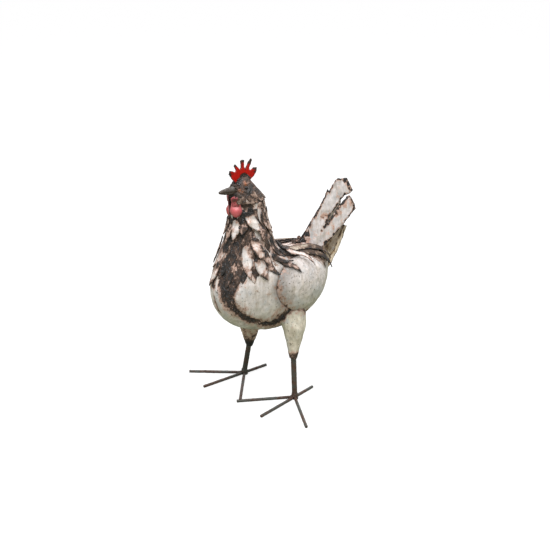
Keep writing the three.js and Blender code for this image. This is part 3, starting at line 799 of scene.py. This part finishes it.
class HEN_OT_body(Operator):
    """The hammered body, from the neck to the belly"""

    bl_idname = "hen.body"
    bl_label = "Body"

    def execute(self, context):
        bm = grid_sheet(170, 250, body_skin)
        close_round(bm)
        dice = random.Random(4)
        lumps = empty_shape()
        for points, width, strength in RUST_BANDS:
            line = [BODY.skin(*point) for point in points]
            for _ in range(round(width * 1.6) if strength > 0.9 else 0):
                spot = along_line(line, dice.random()) + stray(dice, 0.34, width)
                if spot.x > 0:
                    where = BODY.lifted(*BODY.flank(spot.y, spot.z), -1)
                    weld_lump(lumps, where, size_of("weld") * dice.uniform(0.3, 0.75), dice, 0.85)
        join_shape(bm, lumps)
        dice = random.Random(9)
        for row in range(NECK_ROWS):
            station = 0.35 + row * 0.42
            count = round(360 * BODY.degree_length(station, 0) / STRIP_SPACING)
            strips = empty_shape()
            for i in range(count):
                turn = 360 * (i + 0.5 * (row % 2)) / count + dice.uniform(-4, 4)
                near_front = smoothstep(66, 24, abs((turn + 164) % 360 - 180))
                tone = mix(dice.choice(NECK_TONES), dice.uniform(0.65, 1.0), near_front)
                tone += 0.2 * smoothstep(2, 0, row)
                start = station + dice.choice((-0.1, 0, 0.1)) - dice.uniform(0, 0.5) * smoothstep(5, 8, row)
                strip = close_strip(BODY, start, turn, 0.9, dice.uniform(11, 15), tone, row * 40 + i)
                join_shape(strips, strip)
            join_shape(bm, strips)
        strips = empty_shape()
        for side in SIDES.values():
            for i in range(9):
                for station in (3.1, 4.0, 4.9):
                    turn = side * (122 + 7 * i) + dice.uniform(-3, 3)
                    tone = dice.uniform(0.3, 0.75)
                    strip = close_strip(BODY, station + 0.1 * (i % 3), turn, 1.3, 12, tone, 500 + i)
                    join_shape(strips, strip)
        join_shape(bm, strips)
        material = worn_material(
            "body paint", colours().paint, rim=0.12, patches=0.65, dirt=0.6, green_reflection=0.5, painted_shade=0.95,
        )
        finish_piece(bm, "hammered_body", material, "body")
        return {"FINISHED"}


def eye_spot(turn):
    """The middle of the eye on the same side of the head as a turn."""
    return HEAD.skin(EYE_STATION, math.copysign(EYE_TURN, turn))


def head_skin(along, around):
    """The hood, lumpy with weld, with a socket for each eye and a torn lower edge."""
    turn = around * 360 - 180
    torn = 0.22 + 0.5 * wander(HEAD.skin(HEAD.last, turn), 7)
    station = along * HEAD.last - torn * smoothstep(0.75, 1, along)
    p = HEAD.skin(station, turn)
    eye = eye_spot(turn)
    from_eye = (p - eye).length
    lift = 1.3 * wander(p, 8) + 0.9 * wander(p, 3.6) + 0.4 * wander(p, 1.8)
    lift -= 1.4 * smoothstep(7, 3.5, from_eye) + 1.2 * smoothstep(0.93, 1, along)
    lift += math.exp(-(((from_eye - 8) / 2.4) ** 2))
    over_eye = (p - eye - Vector((0, -2, 13))).length
    cheek = (p - eye - Vector((0, -11, -2))).length
    rust = 0.78 - 0.7 * smoothstep(12, 5, over_eye) - 0.3 * smoothstep(10, 5, cheek) + 0.5 * wander(p, 12)
    return HEAD.lifted(station, turn, lift), 0, rust


class HEN_OT_head(Operator):
    """The dark hood of the head, lumpy with weld, and the strips on its cheeks"""

    bl_idname = "hen.head"
    bl_label = "Head"

    def execute(self, context):
        bm = grid_sheet(90, 140, head_skin)
        close_round(bm)
        dice = random.Random(12)
        lumps = empty_shape()
        for _ in range(90):
            station, turn = dice.uniform(0.9, 3.2), dice.uniform(-75, 75)
            if (HEAD.skin(station, turn) - eye_spot(turn)).length > 7:
                weld_lump(lumps, HEAD.lifted(station, turn, -0.8), dice.uniform(0.8, 2.0), dice, 0.85)
        for side in SIDES.values():
            crown = [Vector((side * 2.4, *spot)) for spot in CROWN_LINE]
            weld_bead(lumps, crown, size_of("weld"), 6 + side)
        join_shape(bm, lumps)
        material = worn_material(
            "rusted head", (0.30, 0.085, 0.02), wear=0.05, patches=0.9, stain=0.6, dirt=0.3,
            primer=(0.085, 0.048, 0.032), relief=0.001, shine=0.5,
        )
        finish_piece(bm, "welded_head", material, "head")

        cheeks = empty_shape()
        for row in range(4):
            for i in range(CHEEK_STRIPS):
                turn = 360 * (i + 0.5 * (row % 2)) / CHEEK_STRIPS + dice.uniform(-4, 4) - 180
                station = 2.4 + 0.32 * row + 0.4 * smoothstep(100, 60, abs(turn)) - dice.uniform(0, 0.15)
                tone = dice.choice(CHEEK_TONES) + 0.2 * smoothstep(90, 130, abs(turn))
                tone += 0.3 * smoothstep(30, 10, abs(turn))
                seed = 700 + CHEEK_STRIPS * row + i
                join_shape(cheeks, close_strip(HEAD, station, turn, 1.0, dice.uniform(8, 11), tone, seed))
        material = worn_material(
            "cheek paint", (0.34, 0.25, 0.20), rim=0.4, patches=0.6, primer=(0.20, 0.125, 0.09),
        )
        finish_piece(cheeks, "cheek_strips", material, "head")
        return {"FINISHED"}


def beak_skin(along, around):
    """The beak's horn, with a ridge along its top and the line of the mouth."""
    at = along * (len(BEAK_STATIONS) - 1)
    y, z, high, wide = (spline_value(BEAK_STATIONS, column, at) for column in range(4))
    angle = 2 * math.pi * around
    out = Vector((math.cos(angle), 0, math.sin(angle)))
    p = Vector((wide * out.x, y, z + high * out.z))
    mouth = math.exp(-(((out.z + 0.2) / 0.14) ** 2)) * smoothstep(0.05, 0.4, along)
    top = max(0, out.z)
    p += out * (0.5 * top**8 - 0.9 * mouth + 0.5 * wander(p, 4) + 0.25 * wander(p, 2))
    p.z -= 0.9 * smoothstep(0.75, 1, along) * top
    return p, 0, 0.42 + 0.5 * mouth + 0.35 * smoothstep(0.3, 0, along)


class HEN_OT_beak(Operator):
    """The blunt beak, with the line of the mouth"""

    bl_idname = "hen.beak"
    bl_label = "Beak"

    def execute(self, context):
        bm = grid_sheet(48, 48, beak_skin)
        close_round(bm)
        base = ring_line(Vector((0, -87, 428)), 9.4 * LEFT, 10.4 * UP, 15)
        weld_bead(bm, base, size_of("weld") * 0.7, 3, 0.8)
        material = worn_material(
            "beak metal", (0.040, 0.031, 0.022), wear=-0.1, patches=0.7, dirt=0.2, stain=0.2,
            primer=(0.045, 0.034, 0.024), relief=0.0005, shine=0.5,
        )
        finish_piece(bm, "beak_horn", material, "beak")
        return {"FINISHED"}


def cut_plate(outline, finest, seed):
    """A flat plate in the plane X = 0, cut along an outline of Y and Z, with ragged edges and a close mesh.

    Each point carries its distance from the nearest edge in the layer called near."""
    corners = [Vector((0, y, z)) for y, z in outline]
    bm = empty_shape("near")
    near = bm.verts.layers.float["near"]
    face = bm.faces.new([bm.verts.new(p) for p in corners])
    face.normal_update()
    bmesh.ops.triangulate(bm, faces=[face])
    for _ in range(5):
        long_edges = [e for e in bm.edges if e.calc_length() > finest]
        if not long_edges:
            break
        bmesh.ops.subdivide_edges(bm, edges=long_edges, cuts=1)
        bmesh.ops.triangulate(bm, faces=bm.faces[:])
    edges = [(a, b - a) for a, b in zip(corners, corners[1:] + corners[:1])]

    def distance(p, start, way):
        share = min(1, max(0, (p - start).dot(way) / way.length_squared))
        return (p - start - way * share).length

    def frayed(p):
        return size_of("raggedness") * (0.8 * wander(p, 4) + 0.5 * wander(p, 1.9))

    offset = seed * 11.3 * LEFT
    for v in bm.verts:
        v[near] = min(distance(v.co, *edge) for edge in edges)
        if v.is_boundary:
            p = v.co + offset
            v.co += Vector((0, frayed(p), frayed(p + 70 * UP)))
    return bm


class HEN_OT_comb(Operator):
    """The flat red comb with its five dark points"""

    bl_idname = "hen.comb"
    bl_label = "Comb"

    def execute(self, context):
        middle = Vector((0, *COMB_MIDDLE))
        outline = []
        for degrees, radius in COMB_OUTLINE:
            angle = math.radians(degrees)
            outline.append((middle.y + radius * math.cos(angle), middle.z + radius * math.sin(angle)))
        bm = cut_plate(outline, 2.6, 1)
        near, rim, rust = layers_of(bm, "near", "rim", "rust")
        for v in bm.verts:
            radius = (v.co - middle).length
            front = smoothstep(-70, -82, v.co.y)
            v[rim] = smoothstep(1.8, 0.2, v[near])
            points = smoothstep(25, 32 + 6 * front, radius + 5 * wander(v.co, 5))
            v[rust] = max(0.85 * points, 0.95 * smoothstep(15, 8, radius), 0.25 * (1 - front))
            v.co.x -= COMB_PLATE / 2
        face_towards(bm, LEFT)
        material = worn_material(
            "comb paint", colours().comb, wear=-0.05, rim=0.55, patches=0.6, dirt=0.3, stain=0.0,
            primer=(0.17, 0.006, 0.004), relief=0.0005, shine=0.2, painted_shade=0.3,
        )
        finish_piece(bm, "comb_plate", material, "comb", thickness=COMB_PLATE, bevel=0.5)
        return {"FINISHED"}


def wattle_skin(side, along, over):
    """A hanging drop, hollow in its upper half and full at the bottom."""
    outward, across = heading(side * WATTLE_TURN), heading(side * WATTLE_TURN + 90)
    v = 2 * over - 1
    narrow = mix(0.8, 1, smoothstep(0.1, 0.75, along)) * round_end(0.62, along)
    narrow *= math.sqrt(min(1, along / 0.07 + 0.02))
    p = Vector((6 * side, -85.5, 417 - 36 * along)) + across * (v * 10.5 * narrow)
    hollow = smoothstep(0.03, 0.25, along) * smoothstep(0.66, 0.48, along)
    bulb = smoothstep(0.5, 0.76, along) * round_end(0.76, along)
    lift = 8 - 2 * along - 2 * v * v + (2.8 * bulb - 2.2 * hollow) * (1 - v * v)
    p += outward * (lift + 0.3 * wander(p, 5))
    # Painted shade in the hollow of the upper half, given through the rust value.
    dark = smoothstep(0.66, 0.42, along) * (1 - 0.55 * smoothstep(0.55, 1, abs(v)))
    return p, smoothstep(0.85, 1, abs(v)), 0.55 * dark


class HEN_OT_wattles(Operator):
    """The two cupped wattles, with painted shade inside at the top and pink at the bottom"""

    bl_idname = "hen.wattles"
    bl_label = "Wattles"

    def execute(self, context):
        material = worn_material(
            "wattle paint", colours().wattle, wear=-0.08, rim=0.25, patches=0.35, dirt=0.1, stain=0.15,
            primer=(0.11, 0.012, 0.016), relief=0.0003, shine=0.6,
        )
        for name, side in SIDES.items():
            bm = grid_sheet(44, 30, functools.partial(wattle_skin, side))
            face_towards(bm, heading(side * WATTLE_TURN))
            finish_piece(
                bm, f"wattle_drop_{name}", material, f"wattle_{name}",
                thickness=WATTLE_SHEET,
            )
        return {"FINISHED"}


class HEN_OT_eyes(Operator):
    """The two black rivet eyes"""

    bl_idname = "hen.eyes"
    bl_label = "Eyes"

    def execute(self, context):
        material, tree, shader = new_material("eye gloss")
        smear = fine_noise(tree, tree.nodes.new("ShaderNodeTexCoord").outputs["Object"], 500)
        set_inputs(
            tree, shader, Roughness=ramp_between(tree, smear, -0.4, 1.6), Base_Color=(0.006, 0.005, 0.005, 1),
        )
        for name, side in SIDES.items():
            stand = HEAD.normal(EYE_STATION, EYE_TURN * side).to_track_quat("Z", "Y").to_matrix().to_4x4()
            place = Matrix.Translation(HEAD.lifted(EYE_STATION, EYE_TURN * side, -0.6)) @ stand
            dome = Matrix.Diagonal((EYE_D / 2, EYE_D / 2, EYE_D * 0.42, 1))
            bm = bmesh.new()
            bmesh.ops.create_uvsphere(bm, u_segments=32, v_segments=20, radius=1, matrix=place @ dome)
            finish_piece(bm, f"eye_ball_{name}", material, f"eye_{name}")
        return {"FINISHED"}


def wing_skin(side, out, around):
    """The wing's dome, from its middle out to its rim, rough and worn along the front, with painted shade
    along the front and the lower edge.
    """
    angle = 2 * math.pi * around
    y, z = on_wing(WING_REACH * out * math.cos(angle), WING_RISE * out * math.sin(angle))
    spot = BODY.flank(y, z)
    p = BODY.skin(*spot)
    front = smoothstep(0.2, 0.9, -math.cos(angle)) * smoothstep(0.45, 1, out)
    low = smoothstep(0.1, 0.9, -math.sin(angle)) * smoothstep(0.55, 1, out)
    lift = wing_top(out) - 3.0 * front
    lift += (1 - front) * size_of("hammering") * hammer(p + 40 * LEFT, 11) + 0.8 * wander(p, 30)
    lift += front * (0.9 * wander(p, 3.5) + 0.5 * wander(p, 1.8))
    p = BODY.lifted(*spot, lift)
    p.x *= side
    # Rust along the front is the speckled wear there. Along the lower edge the extra rust is painted shade,
    # and the rim value paints shade along the front and the lower edge.
    rust = 0.04 + 0.2 * front + 0.1 * smoothstep(0.88, 1, out) + 0.26 * low
    return p, max(smoothstep(0.95, 1, out), front, 0.4 * low), rust


class HEN_OT_wings(Operator):
    """The two domed wings, speckled along their front edge, with painted shade along the front and the bottom
    """

    bl_idname = "hen.wings"
    bl_label = "Wings"

    def execute(self, context):
        material = worn_material(
            "wing paint", colours().paint, wear=-0.02, rim=0.12, patches=0.5, dirt=0.9, green_reflection=0.5, painted_shade=0.9,
        )
        for name, side in SIDES.items():
            bm = grid_sheet(56, 130, functools.partial(wing_skin, side))
            bmesh.ops.remove_doubles(bm, verts=bm.verts, dist=0.01)
            face_towards(bm, side * LEFT)
            finish_piece(
                bm, f"domed_wing_{name}", material, f"wing_{name}",
                thickness=FEATHER_SHEET, wall_side=-1,
            )
        return {"FINISHED"}


def feather_shape(cut, side, flare, seed):
    """A pointed strip lying down the body, with ragged edges, a raised middle, and a rusty rim with painted
    shade along it and at the root.
    """
    from_station, from_turn, to_station, to_turn, width, layer, climb, rust_and_shade_share = cut
    dice = random.Random(seed)
    offset = Vector([dice.uniform(0, 90) for _ in range(3)])
    curl = dice.uniform(-0.9, 0.5)
    bow = dice.uniform(-1.5, 1.5)
    ragged = size_of("raggedness")

    def place(along, over):
        v = 2 * over - 1
        station = mix(from_station, to_station, along)
        middle = mix(from_turn, to_turn, along)
        if along < 0.45:
            shape = mix(0.8, 1.12, math.sin(math.pi * along / 0.9))
        else:
            shape = 1.12 * (1 - ((along - 0.45) / 0.55) ** 1.6) + 0.02
        reach = width * shape * min(1, 0.3 + along / 0.12) / 2
        edge_noise = ragged * abs(v) ** 3 * noise.noise(offset + Vector((station * 9, v * 2, 0)))
        across = v * reach + math.copysign(edge_noise, v) + bow * math.sin(math.pi * along)
        turn = middle + across / BODY.degree_length(station, middle)
        p = BODY.skin(station, turn)
        under = layer + climb * smoothstep(0.25, 0.5, along)
        lift = FEATHER_LAY + (FEATHER_SHEET + FEATHER_LAY) * under + flare * max(0, (along - 0.5) / 0.5) ** 2
        lift += wing_rise(p.y, p.z) + curl * v * v
        lift += 0.7 * noise.noise(offset + p / 9) + 0.3 * noise.noise(offset + p / 3)
        p = BODY.lifted(station, turn, lift)
        p.x *= side
        root = smoothstep(0.3, 0, along)
        # The edge value also paints shade along the edges, at the tip and at the root.
        edge = max(smoothstep(3.4, 0.2, reach * (1 - abs(v))), smoothstep(0.8, 1, along), root)
        stain = 0.45 * noise.noise(offset + p / 15) + 0.1 * along + 0.06
        # On a few shoulder and hackle strips this rust share is raised to paint shade.
        return p, edge, rust_and_shade_share + 0.4 * root + stain

    bm = grid_sheet(44, 12, place)
    out = BODY.normal((from_station + to_station) / 2, (from_turn + to_turn) / 2)
    out.x *= side
    face_towards(bm, out)
    return bm


class HEN_OT_feathers(Operator):
    """The pointed strips on the neck, shoulders and back"""

    bl_idname = "hen.feathers"
    bl_label = "Feathers"

    def execute(self, context):
        neck = worn_material(
            "feather paint", colours().paint, wear=0.02, rim=0.4, patches=1.0, dirt=0.5, painted_shade=0.9,
        )
        back = worn_material(
            "saddle paint", (0.38, 0.33, 0.26), wear=0.08, rim=0.7, patches=1.0, primer=(0.20, 0.13, 0.09),
        )
        strips = [
            (f"{row}_{i + 1}", neck, cut, 1, TIP_FLARE)
            for row, cuts in FEATHERS.items() for i, cut in enumerate(cuts)
        ]
        strips += [
            (f"saddle_{name}_{i + 1}", back, cut, side, SADDLE_FLARE[i])
            for name, side in SIDES.items() for i, cut in enumerate(SADDLE)
        ]
        for seed, (node, material, cut, side, flare) in enumerate(strips, 1):
            bm = feather_shape(cut, side, flare, seed)
            finish_piece(bm, f"strip_{node}", material, node, thickness=FEATHER_SHEET)
        return {"FINISHED"}


def tail_stain(p, least):
    """The most rust that any stain leaves at a point of a tail plate."""
    for y, z, radius, strength in TAIL_STAINS:
        far = (p - Vector((0, y, z))).length + 0.5 * radius * wander(p, 6)
        least = max(least, strength * smoothstep(radius, 0.35 * radius, far))
    return least


def tail_plate(name, side):
    """A cut plate turned out about the tail's front edge, with its tip folded in and painted with shade."""
    root, tip = (Vector(p) for p in TAIL_LINE)
    line = (tip - root).normalized()
    behind = Vector((line.y, -line.x))
    fold_start, fold_end = (Vector(p) for p in TAIL_FOLD)
    fold_out = Vector((fold_start.y - fold_end.y, fold_end.x - fold_start.x)).normalized()
    bm = cut_plate(TAIL_PLATES[name], 3.2, 2 + side)
    near, rim, rust = layers_of(bm, "near", "rim", "rust")
    offset = Vector((31.0 * side, 5, 3))
    for v in bm.verts:
        flat = Vector((v.co.y, v.co.z))
        stained = tail_stain(v.co, 0.13 if side > 0 else 0.3)
        over_fold = max(0, (flat - fold_start).dot(fold_out))
        # Painted shade on the folded tip: at least this much rust.
        if over_fold:
            stained = max(stained, 0.42)
        along = (flat - root).dot(line)
        across = (flat - root).dot(behind)
        x = TAIL_START + across * math.sin(TAIL_OPENING) - 0.1 * over_fold
        x += 1.1 * wander(v.co + offset, 18) + 0.9 * hammer(v.co + offset, 12)
        yz = root + line * along + behind * (across * math.cos(TAIL_OPENING))
        # The rim value wears the rims and paints shade along them, and is raised over the folded tip to paint
        # shade there.
        v[rim] = smoothstep(6, 1, v[near] + 1.6 * wander(v.co, 5) - 4 * smoothstep(0, 2, over_fold))
        v[rust] = stained + 0.55 * smoothstep(34, 6, along)
        v.co = Vector((side * x, yz.x, yz.y))
    face_towards(bm, side * LEFT)
    return bm


def cover_skin(up, over):
    """The bent cover, wavy and torn along its top."""
    v = 2 * over - 1
    p = Vector((
        v * mix(30, 20, up),
        mix(147, 209, up) + 5 * math.sin(math.pi * up) - 14 * v * v,
        mix(222, 300, up) + 6 * v * v,
    ))
    wave = math.sin(6.5 * v + 3.2 * up + 1.5 * wander(p, 20))
    back = Vector((v * 0.7, 1, -0.55)).normalized()
    p += back * (2.4 * wave * smoothstep(0, 0.2, up) + 1.2 * wander(p, 10) - 1.2)
    p.z += size_of("raggedness") * smoothstep(0.9, 1, up) * 2 * wander(p, 4)
    rim = max(smoothstep(0.9, 1, abs(v)), smoothstep(0.95, 1, up), smoothstep(0.05, 0, up))
    return p, rim, 0.16 + 0.4 * smoothstep(0.1, -0.9, wave) + 0.3 * wander(p, 9)


class HEN_OT_tail(Operator):
    """The torch-cut plates of the tail, and the bent cover behind them"""

    bl_idname = "hen.tail"
    bl_label = "Tail"

    def execute(self, context):
        material = worn_material(
            "tail paint", (0.66, 0.615, 0.61), rim=1.15, patches=0.8, dirt=0.5, primer=(0.56, 0.33, 0.24),
        )
        for name, side in SIDES.items():
            bm = tail_plate(name, side)
            if side > 0:
                dice = random.Random(8)
                for _ in range(16):
                    where = Vector((dice.uniform(-3, 4), dice.uniform(66, 86), 0))
                    where.z = 292 + (where.y - 70) * 0.45 + dice.uniform(-2, 2)
                    weld_lump(bm, where, dice.uniform(2, 4), dice, 0.9)
            finish_piece(
                bm, f"plate_tail_{name}", material, f"tail_{name}",
                thickness=FEATHER_SHEET, wall_side=0,
            )

        material = worn_material(
            "cover paint", (0.57, 0.49, 0.35), rim=0.7, patches=0.9, dirt=0.4, primer=(0.22, 0.14, 0.06),
        )
        bm = grid_sheet(48, 60, cover_skin)
        face_towards(bm, BACK)
        finish_piece(bm, "bent_tail_cover", material, "tail_cover", thickness=FEATHER_SHEET)
        return {"FINISHED"}


def round_bar(low, low_radius, high, high_radius, rows, columns, surface, opening=1.0):
    """A round form between two points, closed at both ends. surface gives each point a lift and a rust."""
    axis = (high - low).normalized()
    side = axis.cross(BACK).normalized()
    front = axis.cross(side)

    def place(along, around):
        angle = 2 * math.pi * around
        out = side * math.cos(angle) + front * math.sin(angle)
        radius = mix(low_radius, high_radius, along**opening)
        p = low.lerp(high, along)
        lift, rust = surface(p + out * radius, along)
        return p + out * (radius + lift), 0, rust

    bm = grid_sheet(rows, columns, place)
    close_round(bm)
    return bm


def thigh_skin(leg, p, along):
    """The lift and rust of a thigh: rounded in at the hip, bare at the knee, and darker on the far leg."""
    lift = hammer(p, 11) + 0.7 * wander(p, 18) + 0.25 * wander(p, 3)
    lift -= leg["hip"][3] * (1 - round_end(0.85, along))
    rust = 0.12 + 0.75 * smoothstep(0.2, 0.02, along) + 0.8 * RUST.reach(p)
    rust += 0.55 * smoothstep(0.76, 0.95, along + 0.1 * wander(p, 7))
    if leg["side"] < 0:
        rust += 0.1 + 0.4 * smoothstep(0.85, 0.15, along)
    return lift, rust


class HEN_OT_thighs(Operator):
    """The two rolled cones of the thighs"""

    bl_idname = "hen.thighs"
    bl_label = "Thighs"

    def execute(self, context):
        material = worn_material("thigh paint", (0.63, 0.585, 0.49), patches=0.6, dirt=0.9, green_reflection=0.2)
        for name, leg in LEGS.items():
            hip, knee = Vector(leg["hip"][:3]), Vector(leg["knee"][:3])
            hip_radius, knee_radius = leg["hip"][3], leg["knee"][3]
            surface = functools.partial(thigh_skin, leg)
            bm = round_bar(knee, knee_radius, hip, hip_radius, 60, 60, surface, leg["opening"])
            for v in bm.verts:
                v.co.x -= 16 * leg["side"] * smoothstep(mix(knee.z, hip.z, 0.55), hip.z, v.co.z)
            inner = knee_radius - 1.4
            ring = ring_line(knee + 0.1 * inner * UP, inner * LEFT, inner * BACK, 20)
            weld_bead(bm, ring, size_of("weld") * 0.7, 21)
            finish_piece(bm, f"rolled_thigh_{name}", material, f"thigh_{name}")
        return {"FINISHED"}


def rod_skin(p, along):
    return 0.25 * wander(p, 6) + 0.15 * wander(p, 2.2), 0.3 + 0.35 * wander(p, 26)


class HEN_OT_legs(Operator):
    """The rods of the legs and toes, and the welded bosses between them"""

    bl_idname = "hen.legs"
    bl_label = "Legs and feet"

    def execute(self, context):
        material = worn_material(
            "rusted rod", (0.058, 0.058, 0.050), wear=0.05, patches=1.0, dirt=0.2, stain=0.0,
            primer=(0.075, 0.033, 0.020), relief=0.0006, shine=0.45,
        )
        rod = LEG_ROD / 2 + ROD_RUST
        toe_rod = TOE_ROD / 2
        for name, leg in LEGS.items():
            knee, hip = Vector(leg["knee"][:3]), Vector(leg["hip"][:3])
            hub = leg["side"] * STANCE / 2 * LEFT
            bm = round_bar(hub + 6 * UP, rod, knee.lerp(hip, 0.1), rod, 60, 24, rod_skin)
            finish_piece(bm, f"leg_rod_{name}", material, f"leg_{name}")

            bm = round_bar(hub + 0.3 * UP, BOSS_FOOT, hub + BOSS_HEIGHT * UP, BOSS_TOP, 16, 32, rod_skin)
            ring = ring_line(hub + 6 * UP, 6.2 * LEFT, 6.2 * BACK, 30)
            weld_bead(bm, ring, size_of("weld") * 0.9, 31, 0.75)
            finish_piece(bm, f"weld_boss_{name}", material, f"foot_{name}_boss")

            centre = hub + (toe_rod + 0.25) * UP
            for toe, (angle, start, end) in TOES.items():
                way = heading(angle + leg["turn_out"])
                bm = round_bar(centre + way * start, toe_rod, centre + way * end, toe_rod, 70, 20, rod_skin)
                finish_piece(bm, f"toe_rod_{name}_{toe}", material, f"foot_{name}_{toe}")
        return {"FINISHED"}


class HEN_OT_stage(Operator):
    """The pale floor, the soft light and the camera"""

    bl_idname = "hen.stage"
    bl_label = "Stage"

    def execute(self, context):
        scene = context.scene
        bm = bmesh.new()
        bmesh.ops.create_grid(bm, x_segments=1, y_segments=1, size=FLOOR_REACH)
        mesh = bpy.data.meshes.new("floor")
        bm.to_mesh(mesh)
        bm.free()
        floor = bpy.data.objects.new("floor", mesh)
        scene.collection.objects.link(floor)
        pale, tree, shader = new_material("pale floor")
        # The floor is pale to the camera, and throws little light back up at the statue.
        seen = tree.nodes.new("ShaderNodeLightPath").outputs["Is Camera Ray"]
        set_inputs(
            tree, shader, Roughness=0.9, Specular_IOR_Level=0.0,
            Base_Color=blend_colour(tree, seen, FLOOR_UNSEEN, FLOOR_SEEN), Emission_Color=(1, 1, 1, 1),
            Emission_Strength=calculate(tree, "MULTIPLY", seen, FLOOR_GLOW),
        )
        mesh.materials.append(pale)

        world = bpy.data.worlds.new("soft room")
        world.use_nodes = True
        tree = world.node_tree
        set_inputs(tree, tree.nodes["Background"], Color=ROOM_COLOUR, Strength=ROOM_LIGHT)
        scene.world = world
        scene.view_settings.view_transform = "Standard"

        aim = BETWEEN_FEET + Vector(CAMERA_AIM)
        for name, where, size, power in LAMPS:
            light = bpy.data.lights.new(name, "AREA")
            light.shape = "DISK"
            light.size = size
            light.energy = power
            lamp = bpy.data.objects.new(name, light)
            lamp.location = where
            lamp.rotation_euler = (aim - Vector(where)).to_track_quat("-Z", "Y").to_euler()
            scene.collection.objects.link(lamp)

        elevation = math.radians(CAMERA_ELEVATION)
        back = heading(CAMERA_AZIMUTH) * math.cos(elevation) + UP * math.sin(elevation)
        view = bpy.data.cameras.new("photo view")
        view.sensor_width = 36
        view.lens = CAMERA_LENS
        camera = bpy.data.objects.new("photo view", view)
        camera.location = aim + back * CAMERA_DISTANCE
        camera.rotation_euler = (-back).to_track_quat("-Z", "Y").to_euler()
        scene.collection.objects.link(camera)
        scene.camera = camera
        return {"FINISHED"}


class HEN_PT_statue(Panel):
    """Lists the pieces of the statue"""

    bl_idname = "HEN_PT_statue"
    bl_label = "Hen Garden Statue"
    bl_space_type = "VIEW_3D"
    bl_region_type = "UI"
    bl_category = "Hen"

    def draw(self, context):
        for group in (context.scene.statue_colours, context.scene.statue_sizes):
            for name in group.__annotations__:
                self.layout.prop(group, name)
        for piece in PIECES:
            self.layout.operator(piece.bl_idname)


PIECES = (
    HEN_OT_body, HEN_OT_head, HEN_OT_beak, HEN_OT_comb, HEN_OT_wattles, HEN_OT_eyes, HEN_OT_wings,
    HEN_OT_feathers, HEN_OT_tail, HEN_OT_thighs, HEN_OT_legs, HEN_OT_stage,
)
CLASSES = (StatueColours, StatueSizes, *PIECES, HEN_PT_statue)


def register():
    for cls in CLASSES:
        bpy.utils.register_class(cls)
    bpy.types.Scene.statue_colours = PointerProperty(type=StatueColours)
    bpy.types.Scene.statue_sizes = PointerProperty(type=StatueSizes)


def unregister():
    del bpy.types.Scene.statue_sizes
    del bpy.types.Scene.statue_colours
    for cls in reversed(CLASSES):
        bpy.utils.unregister_class(cls)


def main():
    register()
    bpy.ops.hen.body()
    bpy.ops.hen.head()
    bpy.ops.hen.beak()
    bpy.ops.hen.comb()
    bpy.ops.hen.wattles()
    bpy.ops.hen.eyes()
    bpy.ops.hen.wings()
    bpy.ops.hen.feathers()
    bpy.ops.hen.tail()
    bpy.ops.hen.thighs()
    bpy.ops.hen.legs()
    bpy.ops.hen.stage()


if __name__ == "__main__":
    main()
